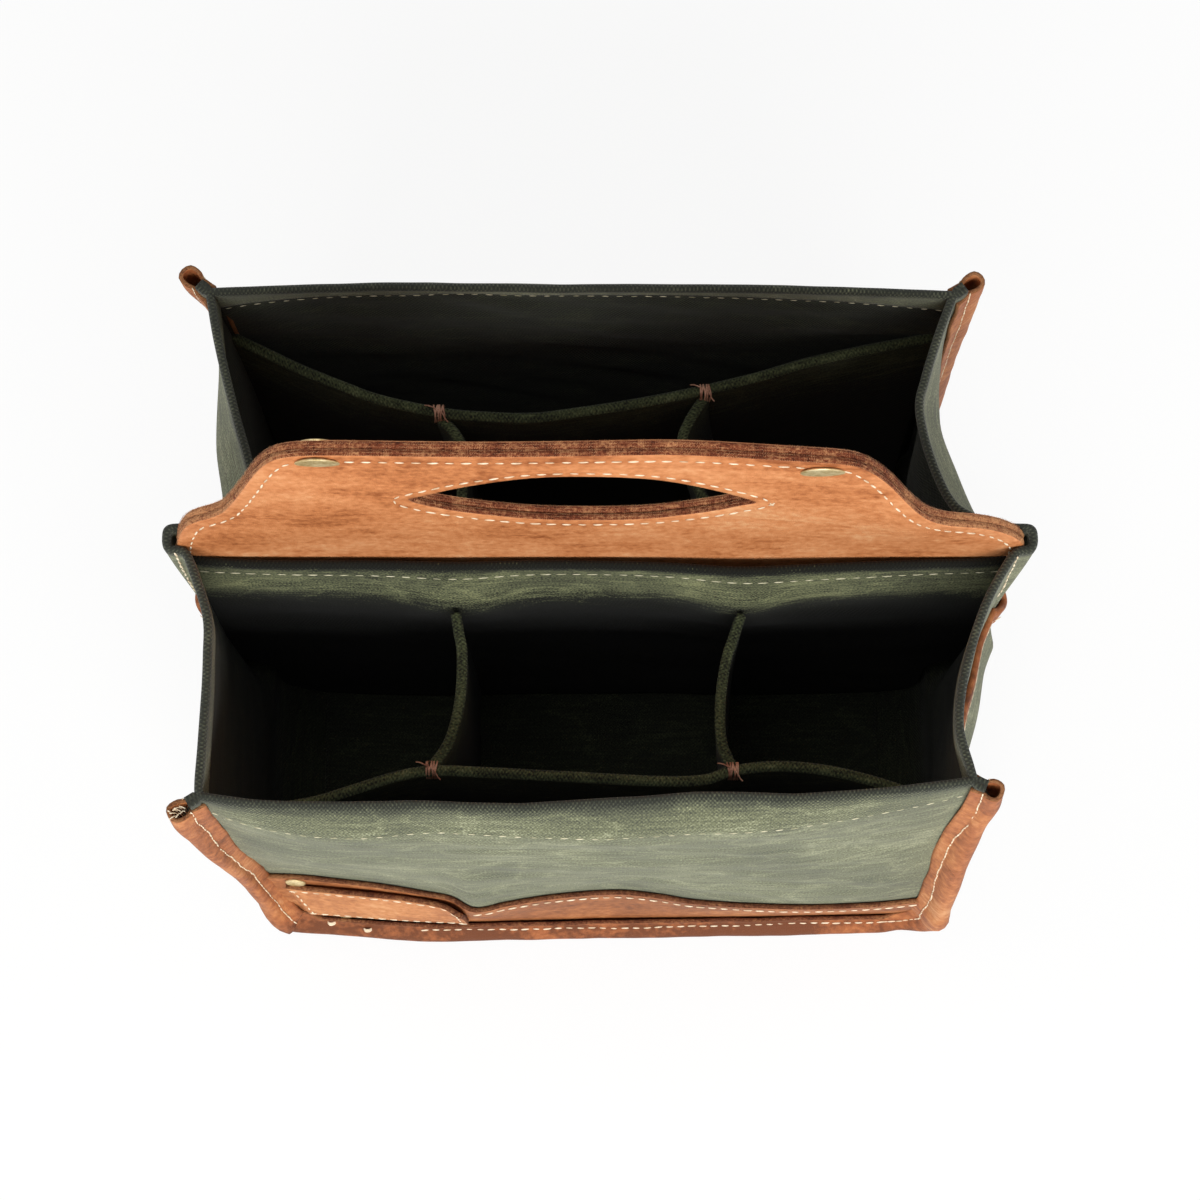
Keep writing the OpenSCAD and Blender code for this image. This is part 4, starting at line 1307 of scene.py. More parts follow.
def hole_at(direction):
    """Where rays from the middle of the hole cross its edge."""
    around = np.arctan2(*(hole_loop - HOLE_MIDDLE).T[::-1])
    distance = np.linalg.norm(hole_loop - HOLE_MIDDLE, axis=1)
    order = np.argsort(around)
    around, distance = around[order], distance[order]
    wanted = np.arctan2(direction[:, 1], direction[:, 0])
    far = np.interp(wanted, around, distance, period=2 * math.pi)
    unit = direction / np.linalg.norm(direction, axis=1, keepdims=True)
    return HOLE_MIDDLE + unit * far[:, None]


hole = hole_at(outline - HOLE_MIDDLE)
print("handle outline:", len(outline), "points, hole", np.ptp(hole, axis=0).round(1), "mm")


# %% [markdown]
# ## Bend of the handle
#
# Thick leather never stands quite flat. The panel leans back at its upper left, forward at its
# right ear, and waves a little between them. Both plies, the rivets and the sewing ask the same
# function where the leather is, which keeps them together.

# %% Bend of the handle panel
def handle_lean(x, z):
    """How far the middle of the leather stands behind the middle plane of the bag."""
    back = 1.1 * np.exp(-((x + 72) / 46) ** 2) * ease(z, 222, 262)
    sway = -1.9 * ease(x, 15, 72) * ease(z, 198, 262)
    ear = -3.4 * np.exp(-((x - 98) / 20) ** 2 - ((z - 218) / 24) ** 2)
    left_ear = 0.8 * np.exp(-((x + 116) / 16) ** 2 - ((z - 205) / 20) ** 2)
    waves = 0.7 * np.sin(x / 34.0) * ease(z, 185, 250) + 0.35 * wander(x, 0.0, z, 46.0, 8.0)
    middle = 0.5 * np.exp(-((x + 5) / 40) ** 2) * ease(z, 210, 263)
    return (back + sway + ear + left_ear + waves + middle) * ease(z, 150, 205)


# Rows of points across each cut edge
EDGE_ROWS = 5


def handle_ply(name, front, seed):
    """One ply between two distances from the bend, front being the lower of them."""
    rings = 1 - (1 - np.linspace(0, 1, 30)) ** 1.25
    rings = np.concatenate([[0.0, 0.008], rings[1:-1], [0.992, 1.0]])
    flat = hole[None] * (1 - rings[:, None, None]) + outline[None] * rings[:, None, None]
    rows = []
    for depth, order in ((front, 1), (front + HANDLE_PLY, -1)):
        x, z = flat[..., 0], flat[..., 1]
        y = handle_lean(x, z) + depth
        face = np.stack([x, y, z], axis=-1)
        face[0, :, 1] += order * 0.3
        face[-1, :, 1] += order * 0.3
        rows.append(face[::order])
    away = outline - np.roll(outline, 2, axis=0)
    away = np.stack([away[:, 1], -away[:, 0]], axis=1)
    away /= np.linalg.norm(away, axis=1, keepdims=True)
    if np.sum(away * (outline - HOLE_MIDDLE)) < 0:
        away = -away
    hole_away = -(hole - HOLE_MIDDLE) / np.linalg.norm(hole - HOLE_MIDDLE, axis=1, keepdims=True)

    def rim(first, last, push):
        """Rows of a rough cut edge between two loops, pushed out of the leather."""
        strips = []
        for k in range(1, EDGE_ROWS + 1):
            mix = k / (EDGE_ROWS + 1)
            strip = first * (1 - mix) + last * mix
            rough = 0.42 * wander(strip[:, 0], strip[:, 1], strip[:, 2], 1.6, seed + 3)
            rough += 0.34 * wander(strip[:, 0], strip[:, 1], strip[:, 2], 6.0, seed)
            bow = 0.3 * math.sin(mix * math.pi)
            strip = strip.copy()
            strip[:, 0] += push[:, 0] * (rough + bow)
            strip[:, 2] += push[:, 1] * (rough + bow)
            strips.append(strip)
        return np.array(strips)

    outer = rim(rows[0][-1], rows[1][0], away)
    inner = rim(rows[1][-1], rows[0][0], hole_away)
    loops = np.concatenate([rows[0], outer, rows[1], inner])
    count = len(outline)
    total = len(loops)
    index = np.arange(total * count).reshape(total, count)
    below = np.roll(index, -1, axis=0)
    quads = np.stack([index, below, np.roll(below, -1, axis=1), np.roll(index, -1, axis=1)], axis=-1)
    mesh = bpy.data.meshes.new(name)
    mesh.from_pydata((loops.reshape(-1, 3) * MM).tolist(), [], quads.reshape(-1, 4).tolist())
    # The two faces of the ply are one row of faces fewer than their loops, and the face that lies
    # against the other ply is raw, like the edges
    face_rings = len(rings) - 1
    second = face_rings + EDGE_ROWS + 1
    is_edge = np.ones(total, int)
    if front < -1:
        is_edge[:face_rings] = 0
    else:
        is_edge[second:second + face_rings] = 0
    mesh.materials.append(handle_leather)
    mesh.materials.append(handle_edge)
    mesh.polygons.foreach_set("material_index", np.repeat(is_edge, count))
    mesh.shade_smooth()
    face_outwards(mesh)
    return put_in_scene(name, mesh)


for word, front, seed in (("front", -HANDLE_PLY - 0.04, 2.0), ("back", 0.04, 9.0)):
    settle(handle_ply("handle_" + word + "_leather", front, seed), "handle_leather",
           "handle_" + word + "_ply")

# %% [markdown]
# ## Turned shapes
#
# Rivet caps are small domes. A helper turns a profile round an axis, which gives one closed
# shell with its pole points merged, so that nothing is open or inside out.

# %% Rivets
def turned(profile, place, axis, segments=40, dent=0.0):
    """Vertices and faces of a profile of (radius, height) pairs turned round an axis."""
    axis = Vector(axis).normalized()
    turn = axis.to_track_quat("Z", "Y")
    vertices, faces = [], []
    for radius, height in profile:
        count = 1 if radius == 0 else segments
        ring = []
        for k in range(count):
            a = 2 * math.pi * k / segments
            wobble = 1 + dent * math.sin(3 * a + height)
            spot = Vector((radius * wobble * math.cos(a), radius * wobble * math.sin(a), height))
            ring.append(len(vertices))
            vertices.append((turn @ spot + Vector(place)) * MM)
        if len(vertices) > count:
            for k in range(segments):
                a, b = previous[k % len(previous)], previous[(k + 1) % len(previous)]
                c, d = ring[(k + 1) % len(ring)], ring[k % len(ring)]
                faces.append([i for n, i in enumerate((a, b, c, d)) if i not in (a, b, c, d)[:n]])
        previous = ring
    return vertices, faces


def joined(name, parts, material):
    """One mesh object from several (vertices, faces) shapes."""
    vertices, faces = [], []
    for part_vertices, part_faces in parts:
        base = len(vertices)
        vertices += [tuple(v) for v in part_vertices]
        faces += [[base + i for i in face] for face in part_faces]
    mesh = bpy.data.meshes.new(name)
    mesh.from_pydata(vertices, [], faces)
    mesh.shade_smooth()
    mesh.materials.append(material)
    face_outwards(mesh)
    return put_in_scene(name, mesh)


# Profile of a cap as (radius, height), and the rivets' places as (x, z)
CAP = ((0, -0.5), (5.6, -0.5), (6.4, -0.15), (6.65, 0.1), (6.6, 0.35), (6.2, 0.5), (5.2, 0.62),
       (3.4, 0.72), (1.7, 0.76), (0, 0.77))
RIVETS = ((-81.8, 257.2), (64.8, 254.0))
caps, backs = [], []
for x, z in RIVETS:
    lean = float(handle_lean(np.array(x), np.array(z)))
    caps.append(turned(CAP, (x, lean - HANDLE_PLY + 0.3, z), (0, -1, -0.17)))
    backs.append(turned(CAP, (x, lean + HANDLE_PLY + 0.05, z), (0, 1, 0)))
settle(joined("rivet_caps", caps, brass), "brass", "handle_rivet_caps")
settle(joined("rivet_back_caps", backs, brass), "brass", "handle_rivet_backs")

# %% [markdown]
# ## Opener pocket
#
# At the left of the front band a patch of leather is sewn on at its sides and foot. A bottle
# opener slides in at the top, so its upper edge stands a little open. Two small discs fasten
# it. The patch follows the band like everything else on the wall.

# %% Make the opener patch
front_wall = partial(panel_wall, -1)

# Corners of the patch as (x, z): upper left, upper right, lower right, lower left
PATCH = np.array([(-111.5, 46.0), (-46.5, 49.5), (-47.5, 19.5), (-105.5, 17.0)])
ON_BAND = CANVAS / 2 + BAND + 0.15


def run_of(z):
    """The run at which a wall has a height."""
    round_foot = SIDE_RUN + CORNER_R * np.arcsin(np.clip((CORNER_Z - z) / CORNER_R, 0, 1))
    return np.where(z > CORNER_Z, RIM - z, round_foot)


def patch_place(a, b):
    """Across and down places on the wall for a from left to right and b from top to bottom."""
    a, b = np.broadcast_arrays(np.asarray(a, float), np.asarray(b, float))
    top = PATCH[0] * (1 - a[..., None]) + PATCH[1] * a[..., None]
    foot = PATCH[3] * (1 - a[..., None]) + PATCH[2] * a[..., None]
    spot = top * (1 - b[..., None]) + foot * b[..., None]
    x, z = spot[..., 0], spot[..., 1]
    z = z + 1.2 * np.sin(a * math.pi) * (1 - b)
    t = run_of(z)
    half, height, _ = seam_run(t)
    left_shift = seam_shift(-1, -1, height)
    right_shift = seam_shift(1, -1, height)
    u = (x - (left_shift + right_shift) / 2) / (half + (right_shift - left_shift) / 2)
    return u, t


def patch_out(a, b):
    """Distance of the patch from the wall: it gapes at the mouth and lifts at its upper right."""
    gape = 1.2 * np.sin(np.clip(a, 0, 1) * math.pi) ** 0.6 * (1 - 0.6 * a) * np.exp(-b * 7.0)
    corner = 1.6 * np.exp(-((1 - a) / 0.16) ** 2) * np.exp(-b * 3.0)
    full = 0.9 * np.sin(np.clip(a, 0, 1) * math.pi) * np.sin(np.clip(b, 0, 1) * math.pi)
    return ON_BAND + 0.95 + gape + corner + full


patch_a = np.linspace(0, 1, 46)[None, :]
patch_b = np.linspace(0, 1, 25)[:, None]
patch_u, patch_t = patch_place(patch_a, patch_b)
patch_points = lay(front_wall, patch_u, patch_t, patch_out(patch_a, patch_b))
patch = sheet("opener_pocket_leather", patch_points, PATCH_SHEET, patch_leather, rim=trim_edge)
settle(patch, "band_leather", "opener_pocket")

DISC = ((0, -0.3), (3.1, -0.3), (3.6, 0.1), (3.7, 0.4), (3.4, 0.75), (2.5, 1.0), (1.2, 1.1),
        (0, 1.12))
DISC_PLACES = ((-108.5, 48.6), (-96.5, 15.5))
discs = []
for x, z in DISC_PLACES:
    t = float(run_of(z))
    u = (x + 1.0) / float(seam_run(np.array(t))[0])
    spot = lay(front_wall, u, t, ON_BAND - 0.1)
    facing = outward(front_wall, np.array([u]), np.array([t]))[0]
    discs.append(turned(DISC, spot, facing, 28))
settle(joined("opener_pocket_discs", discs, brass), "brass", "opener_pocket_rivets")

# %% [markdown]
# ## Stitches
#
# Sewing is a row of short dashes along a path, so it is made by Geometry Nodes. Each row is
# drawn first as a thin line that keeps, at every point, which way the cloth faces. The tree
# spaces points along the line and sets one rounded stitch on each, turned along the line and
# lying flat on the cloth.

# %% Stitch tree
def sewing_tree():
    """The tree that turns thin lines into rows of stitches, with its sizes as named inputs."""
    tree = bpy.data.node_groups.new("sewn_stitches", "GeometryNodeTree")
    for name, kind, value in (
            ("Rows", "Geometry", None), ("Pitch", "Float", 5.0 * MM), ("Length", "Float", 3.4 * MM),
            ("Width", "Float", 0.95 * MM), ("Height", "Float", 0.75 * MM), ("Turn", "Float", 0.12),
            ("Seed", "Int", 3), ("Sides", "Int", 8), ("Rings", "Int", 6), ("Thread", "Material", None)):
        socket = tree.interface.new_socket(name, in_out="INPUT", socket_type="NodeSocket" + kind)
        if value is not None:
            socket.default_value = value
    tree.interface.new_socket("Stitches", in_out="OUTPUT", socket_type="NodeSocketGeometry")
    given = add_node(tree, "NodeGroupInput").outputs
    curves = add_node(tree, "GeometryNodeMeshToCurve", {"Mesh": given["Rows"]})
    spaced = add_node(tree, "GeometryNodeResampleCurve", {
        "Curve": curves, "Length": given["Pitch"]}, mode="LENGTH")
    ball = add_node(tree, "GeometryNodeMeshUVSphere", {
        "Segments": given["Sides"], "Rings": given["Rings"], "Radius": 0.5})
    size = add_node(tree, "ShaderNodeCombineXYZ", {
        "X": given["Length"], "Y": given["Width"], "Z": given["Height"]})
    dash = add_node(tree, "GeometryNodeTransform", {"Geometry": ball.outputs["Mesh"], "Scale": size})
    tangent = add_node(tree, "GeometryNodeInputTangent")
    facing = add_node(tree, "GeometryNodeInputNamedAttribute", {"Name": "facing"},
                      data_type="FLOAT_VECTOR")
    along = add_node(tree, "FunctionNodeAlignRotationToVector", {"Vector": tangent}, axis="X")
    flat = add_node(tree, "FunctionNodeAlignRotationToVector", {
        "Rotation": along, "Vector": facing.outputs["Attribute"]}, axis="Z", pivot_axis="X")
    less = add_node(tree, "ShaderNodeMath", {0: given["Turn"], 1: -1.0}, operation="MULTIPLY")
    turn = add_node(tree, "FunctionNodeRandomValue", {
        "Min": less, "Max": given["Turn"], "Seed": given["Seed"]}, data_type="FLOAT")
    twist = add_node(tree, "ShaderNodeCombineXYZ", {"Z": turn.outputs["Value"]})
    turned_dash = add_node(tree, "FunctionNodeRotateRotation", {
        "Rotation": flat, "Rotate By": twist}, rotation_space="LOCAL")
    grow = add_node(tree, "FunctionNodeRandomValue", {
        "Min": 0.82, "Max": 1.12, "Seed": given["Seed"]}, data_type="FLOAT")
    placed = add_node(tree, "GeometryNodeInstanceOnPoints", {
        "Points": spaced, "Instance": dash, "Rotation": turned_dash,
        "Scale": grow.outputs["Value"]})
    real = add_node(tree, "GeometryNodeRealizeInstances", {"Geometry": placed})
    named = add_node(tree, "GeometryNodeSetMaterial", {
        "Geometry": real, "Material": given["Thread"]})
    smooth = add_node(tree, "GeometryNodeSetShadeSmooth", {"Geometry": named})
    add_node(tree, "NodeGroupOutput", {0: smooth})
    return tree


stitches = sewing_tree()
rows_to_sew = {}


def sew(group, points, facing):
    """Keeps one row of stitches for later. points are in millimetres."""
    row = np.asarray(points, float), np.asarray(facing, float)
    rows_to_sew.setdefault(group, []).append(row)


def sew_on(group, wall, u, t, out):
    """A row of stitches that follows a wall, at a distance out from it."""
    u, t = np.broadcast_arrays(np.asarray(u, float), np.asarray(t, float))
    sew(group, lay(wall, u, t, out), outward(wall, u, t))


def finish_rows(name, group, slot, **sizes):
    """Turns the kept rows of one group into a plain mesh of stitches."""
    points, facing, edges = [], [], []
    for row, up in rows_to_sew[group]:
        edges += [(len(points) + k, len(points) + k + 1) for k in range(len(row) - 1)]
        points += (row * MM).tolist()
        facing += up.tolist()
    mesh = bpy.data.meshes.new(name + "_rows")
    mesh.from_pydata(points, edges, [])
    layer = mesh.attributes.new("facing", "FLOAT_VECTOR", "POINT")
    layer.data.foreach_set("vector", np.array(facing).reshape(-1))
    rows = put_in_scene(name + "_rows", mesh)
    modifier = rows.modifiers.new("sewing", "NODES")
    modifier.node_group = stitches
    for item in stitches.interface.items_tree:
        if item.in_out == "INPUT" and item.name in sizes:
            modifier[item.identifier] = sizes[item.name]
    bpy.context.view_layer.update()
    seen = rows.evaluated_get(bpy.context.evaluated_depsgraph_get())
    plain = bpy.data.meshes.new_from_object(seen)
    plain.name = name
    made = put_in_scene(name, plain)
    rows.modifiers.clear()
    bpy.data.objects.remove(rows)
    settle(made, slot)
    print(name, len(plain.polygons), "faces")


# %% [markdown]
# ## Where the bag is sewn
#
# Each hem has one row of short green-stained stitches, and each fold round the handle's ears
# has two rows that fork at their lower end. Bands, patch, pocket trims, bindings and handle are
# sewn in thick cream thread. Rows are placed on the walls by the same functions as the cloth,
# so that every stitch lies on the surface that it holds.

# %% Rows on canvas
# How far below its edge each hem is sewn, and how long the rows of a ridge are
PANEL_HEM_SEWN = 10.6
PLY_HEM_SEWN = 8.6
RIDGE_SEWN = 40.0
hem_u = np.linspace(-0.965, 0.965, 90)
hem_run = PANEL_HEM_SEWN + 0.5 * np.sin(hem_u * 5.0)
sew_on("panel", front_wall, hem_u, hem_run, CANVAS / 2 + 0.05)
sew_on("panel", partial(panel_wall, 1), hem_u, hem_run + 2.0, -CANVAS * 1.5 - 0.25)
ply_u = np.linspace(0.035, 0.965, 90)
for face in (-1, 1):
    sew_on("divider", partial(divider_wall, face), ply_u, PLY_HEM_SEWN + 0 * ply_u, CANVAS / 2 + 0.08)
for side in (-1, 1):
    wall = partial(gusset_wall, side)
    for away in (-1, 1):
        t = np.linspace(1.5, RIDGE_SEWN, 30)
        leg = 0.5 + away * ((0.118 if side > 0 else 0.085) - 0.0003 * t)
        sew_on("ridge", wall, leg, t, CANVAS / 2 + 0.12)
        fork = np.linspace(34.0, 41.0, 5)
        sew_on("ridge", wall, 0.5 + away * (0.106 + 0.003 * (fork - 34)), fork, CANVAS / 2 + 0.12)
    for low, high in ((0.02, 0.44), (0.56, 0.98)):
        s = np.linspace(low, high, 60)
        run = MOUTH_RUN + 9.0 + 0 * s
        sew_on("leg", wall, s, pocket_run(side, s, run), stand_off(side, s, run) + 1.5)

# %% Rows on the bands and the patch
band_u = np.linspace(-0.965, 0.965, 110)
band_run = RIM - BAND_Z + 3.6 + uneven(band_u, -1)
for face, seen in ((-1, band_u > -0.36), (1, band_u > -1)):
    sew_on("leather", partial(panel_wall, face), band_u[seen], band_run[seen], ON_BAND + 0.25)
# The patch is sewn round: its mouth, its foot and its two sides, each from one (a, b) to another
for first, last, count in (((0.03, 0.09), (0.97, 0.07), 40), ((0.03, 0.93), (0.97, 0.95), 40),
                           ((0.03, 0.12), (0.03, 0.9), 20), ((0.965, 0.12), (0.965, 0.9), 20)):
    a, b = np.linspace(first, last, count).T
    sew_on("leather", front_wall, *patch_place(a, b), patch_out(a, b) + 1.0)

# %% Rows on the bindings
# A stitch lies in the pinch that it makes in the leather, this far above it
STITCH_RISE = 0.78
pinch = LEG_BULGE[LEG_OUT.index(SEWN_AT)]
# Face, first and last run of each row, and where it climbs on to another binding
for face, start, end, lifted in (
        (-1, EDGE_RUN + 36, PATH - 2.2, None), (-1, 3.7, EDGE_RUN - 14, OVERLAP),
        (1, 1.8, PATH - EDGE_RUN - 3, None), (1, PATH - EDGE_RUN + 14, PATH - 2.8, OVERLAP)):
    w = np.linspace(start, end, 300)
    seam, along, square, depth = round_panel(face, w)
    lift = LIFT * ease(w if face < 0 else PATH - w, *lifted) if lifted else 0 * w
    wave = SEWN_AT + 0.45 * np.sin(w / 21.0) + 0.25 * np.sin(w / 6.5) + 0.12 * np.sin(w / 1.9)
    wave = wave * curl(depth, face < 0 and end > PATH / 2)
    upright = depth < EDGE_RUN - 2
    for sign in (1, -1):
        height = sign * (leg_height(depth) + pinch + STITCH_RISE)
        height = height + (lift + over_band(seam[:, 2])) * (sign > 0)
        row = seam + along * wave[:, None] + square * height[:, None]
        row[:, 2] += rim_rise(depth) * wave
        for group, part in (("leg", upright & (w < PATH / 2)), ("leg", upright & (w >= PATH / 2)),
                            ("leather", ~upright)):
            if np.sum(part) > 3:
                sew(group, row[part], (square * sign)[part])


# %% Rows on the handle
def towards_hole(loop):
    """Unit directions square to a loop round the hand hole, pointing to the hole's middle."""
    step = np.roll(loop, -2, axis=0) - np.roll(loop, 2, axis=0)
    square = np.stack([-step[:, 1], step[:, 0]], axis=1) / np.linalg.norm(step, axis=1, keepdims=True)
    return square if np.sum(square * (HOLE_MIDDLE - loop)) >= 0 else -square


def inset_by(loop, inset):
    """A loop moved towards the hole."""
    return loop + towards_hole(loop) * inset


# The outer row leaves out the foot, which is hidden, so it starts after the gap that this leaves
SEEN_ABOVE = 171
outer_row = inset_by(outline, 4.2)
outer_row = outer_row[outer_row[:, 1] > SEEN_ABOVE]
gap = np.argmax(np.linalg.norm(np.diff(outer_row, axis=0), axis=1))
outer_row = np.roll(outer_row, -gap - 1, axis=0)
hole_row = inset_by(hole_loop[::5], -3.1)
# Round the hole's two points the row keeps further away
hole_row[:, 0] += 0.03 * (hole_row[:, 0] - HOLE_MIDDLE[0])
hole_row = np.vstack([hole_row, hole_row[:1]])
for row in (outer_row, hole_row):
    for sign in (-1.0, 1.0):
        y = handle_lean(row[:, 0], row[:, 1]) + sign * (HANDLE_PLY + 0.2)
        facing = np.tile([0.0, sign, 0.0], (len(row), 1))
        sew("handle", np.stack([row[:, 0], y, row[:, 1]], axis=1), facing)


# %% [markdown]
# ## Loose fibres
#
# A knife leaves short pale fibres standing on the cut edge of thick leather. They are the same
# tree once more, with stitches so small and so freely turned that they read as fuzz.

# %% Loose fibres on the cut edges
def fibres_on(loop, keep, lines):
    """Rows of loose fibres along a cut edge. lines are (depth through the leather, height)."""
    out = -towards_hole(loop)
    for depth, raised in lines:
        spot = (loop + out * raised)[keep]
        y = handle_lean(spot[:, 0], spot[:, 1]) + depth
        facing = np.stack([out[keep][:, 0], 0 * y, out[keep][:, 1]], axis=1)
        breaks = np.where(np.linalg.norm(np.diff(spot, axis=0), axis=1) > 6)[0] + 1
        for part in np.split(np.arange(len(spot)), breaks):
            sew("fibre", np.stack([spot[part, 0], y[part], spot[part, 1]], axis=1), facing[part])


FIBRE_LINES = ((-2.2, 0.25), (-1.3, 0.38), (-0.4, 0.3), (0.5, 0.32), (1.4, 0.38), (2.2, 0.3))
fibres_on(outline, outline[:, 1] > 186, FIBRE_LINES)
hole_edge = hole_loop[::3]
fibres_on(hole_edge, hole_edge[:, 1] < 229, [(depth, -raised) for depth, raised in FIBRE_LINES])

# %% Sew them all
# Name, group, slot, thread, pitch, length, width, turn in radians, and sides of a stitch
for name, group, slot, material, pitch, length, width, turn, sides in (
        ("hem_stitches", "panel", "canvas", hem_thread, 4.7, 2.4, 0.42, 0.12, 8),
        ("divider_stitches", "divider", "divider_canvas", hem_thread, 5.0, 3.3, 0.45, 0.06, 8),
        ("leather_stitches", "leather", "trim_leather", cream_thread, 4.1, 3.0, 0.72, 0.12, 8),
        ("binding_stitches", "leg", "trim_leather", cream_thread, 2.9, 3.2, 0.56, 0.1, 8),
        ("ridge_stitches", "ridge", "canvas", cream_thread, 4.0, 3.6, 0.75, 0.15, 8),
        ("handle_stitches", "handle", "handle_leather", cream_thread, 4.8, 3.2, 0.66, 0.12, 8),
        ("edge_fibres", "fibre", "handle_leather", leather_fibre, 0.7, 1.1, 0.13, 1.5, 5)):
    finish_rows(name, group, slot, Thread=material, Pitch=pitch * MM, Length=length * MM,
                Width=width * MM, Height=0.75 * width * MM, Turn=turn, Sides=sides, Rings=sides - 2)

# %% [markdown]
# ## Bar tacks
#
# Where a cross divider meets a strip, a short bar of copper-coloured thread holds the two.
# Each bar is a bundle of thin round threads over the fold, with a loose tail or two.

# %% Make the bar tacks
def thread(points, radius, sides=7):
    """Vertices and faces of a round thread along points in millimetres."""
    points = through(points, 6)
    vertices, faces = [], []
    up = Vector((0, 0, 1))
    for k, p in enumerate(points):
        ahead = Vector(points[min(k + 1, len(points) - 1)] - points[max(k - 1, 0)]).normalized()
        side = ahead.cross(up)
        side = side.normalized() if side.length > 0.05 else ahead.cross(Vector((1, 0, 0))).normalized()
        top = side.cross(ahead)
        thin = radius * (0.55 if k in (0, len(points) - 1) else 1.0)
        for j in range(sides):
            a = 2 * math.pi * j / sides
            vertices.append((Vector(p) + side * math.cos(a) * thin + top * math.sin(a) * thin) * MM)
    for k in range(len(points) - 1):
        for j in range(sides):
            a, b = k * sides + j, k * sides + (j + 1) % sides
            faces.append([a, b, b + sides, a + sides])
    faces.append(list(range(sides))[::-1])
    faces.append([len(vertices) - sides + j for j in range(sides)])
    return vertices, faces


# Where the strips and the cross dividers meet, as (x, y)
TACKS = ((-54.5, -65.4), (43.0, -65.8), (-54.0, 57.2), (35.4, 64.6))
threads = []
for number, (x, y) in enumerate(TACKS):
    top = CELL_Z + (1.5 if y < 0 else 3.0)
    for k in range(6):
        dx = (k - 2.5) * 0.62
        crook = 0.4 * math.sin(2.3 * k + number)
        threads.append(thread([(x + dx, y - 2.6, top - 3.5), (x + dx + crook, y - 1.9, top + 0.3),
                               (x + dx, y, top + 1.35), (x + dx - crook, y + 2.0, top + 0.5),
                               (x + dx, y + 2.8, top - 3.0)], 0.32))
    for k, (ax, ay) in enumerate(((-3.6, 1.6), (2.2, -3.0))):
        threads.append(thread([(x + ax * 0.1, y, top + 1.0), (x + ax * 0.5, y + ay * 0.4, top + 1.9),
                               (x + ax, y + ay, top + 1.4 - k * 0.6),
                               (x + ax * 1.4, y + ay * 1.3, top + 0.2)], 0.24))
settle(joined("bar_tack_threads", threads, copper_thread), "bar_tack_thread", "cell_bar_tacks")

# %% [markdown]
# ## Loose ends
#
# At the upper left corner the sewing thread has frayed into a tuft, and below the opener pocket
# two knots have worked loose. Each is a few short round threads of the same kind.

# %% Loose ends of the sewing thread
loose = []
for k in range(9):
    s, q = 4.6 + 0.5 * k, 1.1 * math.sin(2.1 * k)
    start = flange_points(-1, -1, np.array(9.0), s, q)
    middle = flange_points(-1, -1, np.array(3.2), s + 0.3, 0.8 * q) + [0, 0, 0.4]
    tip = middle + [-1.2 + 0.5 * math.sin(k * 1.7), -0.8 + 0.9 * math.cos(k * 2.3),
                    2.2 + 0.8 * math.sin(k)]
    loose.append(thread([start, middle, tip], 0.2, 5))
for x, s in ((-102.0, 2.2), (-88.7, 4.6)):
    seam, along, square, depth = round_panel(-1, np.array([EDGE_RUN + CORNER_X + x]))
    height = leg_height(depth) + 0.9 + over_band(seam[:, 2])
    knot = (seam + along * s + square * height[:, None])[0]
    for k in range(3):
        a = knot + along[0] * (0.45 * k - 0.45)
        bow = (0.7 + 0.1 * k) * square[0]
        over = [a, a + [0.8, 0, 0] + bow, a + [2.0, 0, 0] + 0.9 * bow, a + [2.8, 0, 0]]
        loose.append(thread(over, 0.3, 6))
settle(joined("loose_thread_ends", loose, cream_thread), "trim_leather")

# %% [markdown]
# ## Studio
#
# The photograph is lit from in front, which is why the front panel and the handle are bright
# while the cells are almost black: the front rim keeps the light out of them. One wide soft
# lamp does that, and three weak ones keep the other sides from going dark. The floor is plain
# and pale. It shows itself as white to the camera and to shiny things, but it still takes the
# object's shadow.

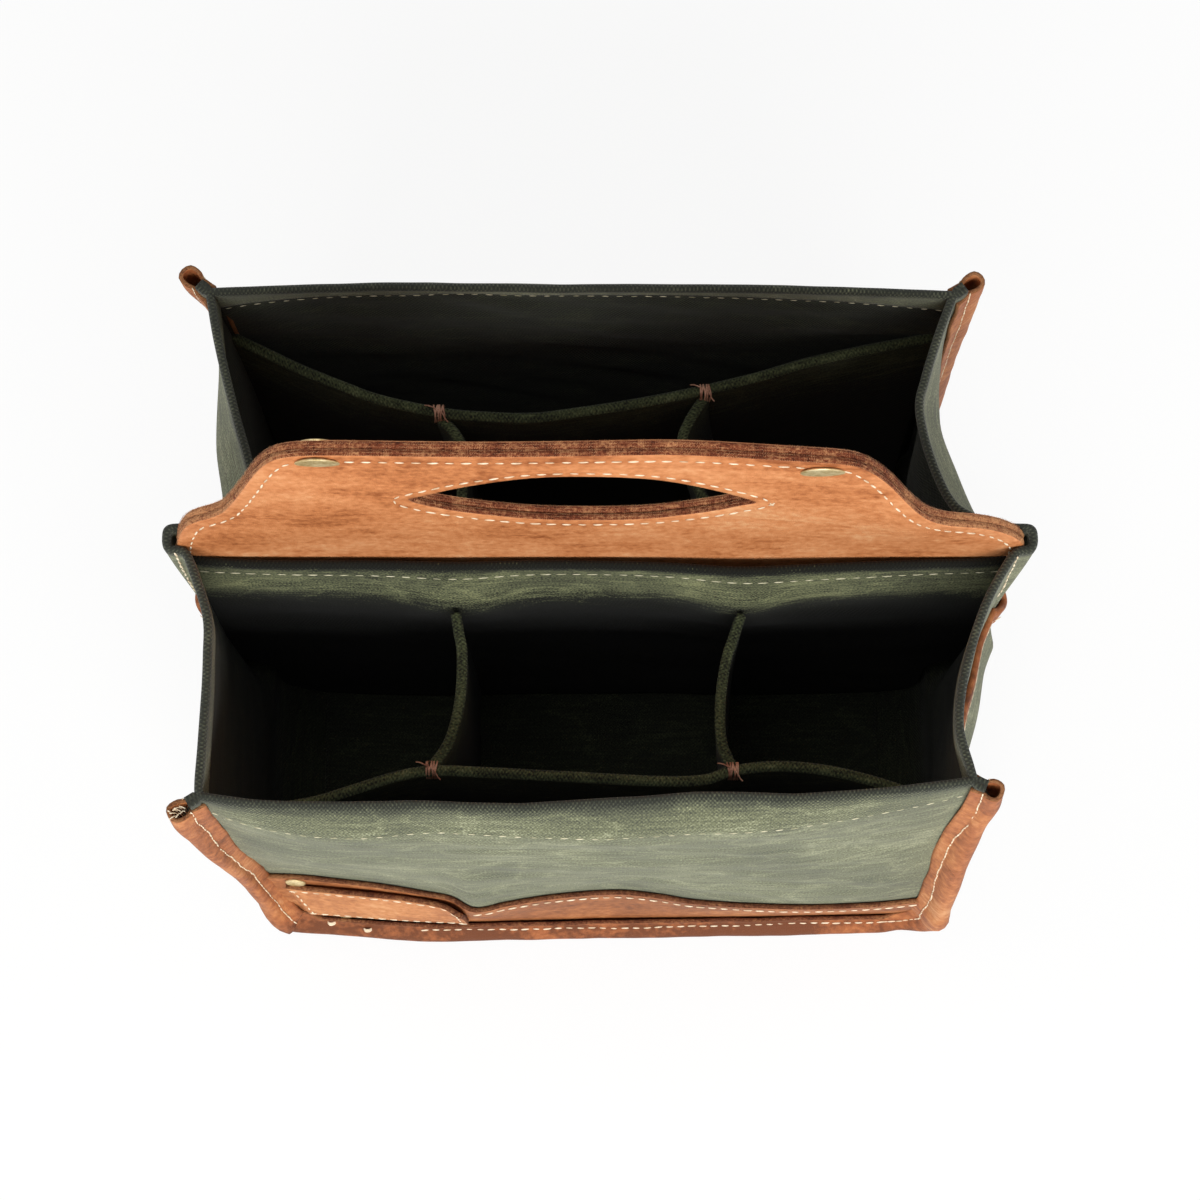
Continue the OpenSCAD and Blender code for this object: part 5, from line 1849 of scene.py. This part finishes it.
# %% Floor and lamps
def studio_floor():
    """Pale and dull, and nearly white to the camera and to shiny things."""
    material, tree, shader = new_material("pale_studio_floor")
    set_inputs(tree, shader, {"Base Color": srgb("f4f4f2"), "Roughness": 0.9})
    path = add_node(tree, "ShaderNodeLightPath")
    seen = add_node(tree, "ShaderNodeMath", {
        0: path.outputs["Is Camera Ray"], 1: path.outputs["Is Glossy Ray"]}, operation="MAXIMUM")
    seen = add_node(tree, "ShaderNodeMath", {
        0: seen, 1: path.outputs["Is Transmission Ray"]}, operation="MAXIMUM")
    part = add_node(tree, "ShaderNodeMath", {0: seen, 1: 0.88}, operation="MULTIPLY")
    glow = add_node(tree, "ShaderNodeEmission", {"Color": (1, 1, 1, 1), "Strength": 1.0})
    both = add_node(tree, "ShaderNodeMixShader", {
        0: part, 1: shader, 2: glow})
    out = next(node for node in tree.nodes if node.type == "OUTPUT_MATERIAL")
    set_inputs(tree, out, {"Surface": both})
    return material


ground_mesh = bpy.data.meshes.new("studio_floor")
ground_mesh.from_pydata([(-4, -4, 0), (4, -4, 0), (4, 4, 0), (-4, 4, 0)], [], [(0, 1, 2, 3)])
ground_mesh.materials.append(studio_floor())
ground = put_in_scene("studio_floor", ground_mesh)


def soft_lamp(name, place, aim_height, wide, high, watts):
    """A rectangular lamp that is aimed at a height over the middle of the floor."""
    lamp = bpy.data.lights.new(name, "AREA")
    lamp.shape = "RECTANGLE"
    lamp.size = wide
    lamp.size_y = high
    lamp.energy = watts
    made = put_in_scene(name, lamp)
    made.location = place
    aim = Vector((0, 0, aim_height))
    made.rotation_euler = (aim - Vector(place)).to_track_quat("-Z", "Y").to_euler()


soft_lamp("key_lamp", (0.1, -1.3, 1.05), 0.12, 1.4, 0.7, 30)
soft_lamp("top_lamp", (-0.3, 0.1, 1.9), 0.1, 1.2, 1.2, 7)
soft_lamp("left_lamp", (-1.5, 0.7, 0.5), 0.1, 0.8, 0.5, 5)
soft_lamp("right_lamp", (1.5, 0.8, 0.5), 0.1, 0.8, 0.5, 5)
WORLD_STRENGTH = 0.26
world = bpy.data.worlds.new("studio")
world.use_nodes = True
set_inputs(world.node_tree, world.node_tree.nodes["Background"], {0: (1, 1, 1, 1), 1: WORLD_STRENGTH})
bpy.context.scene.world = world
bpy.context.scene.view_settings.view_transform = "Standard"
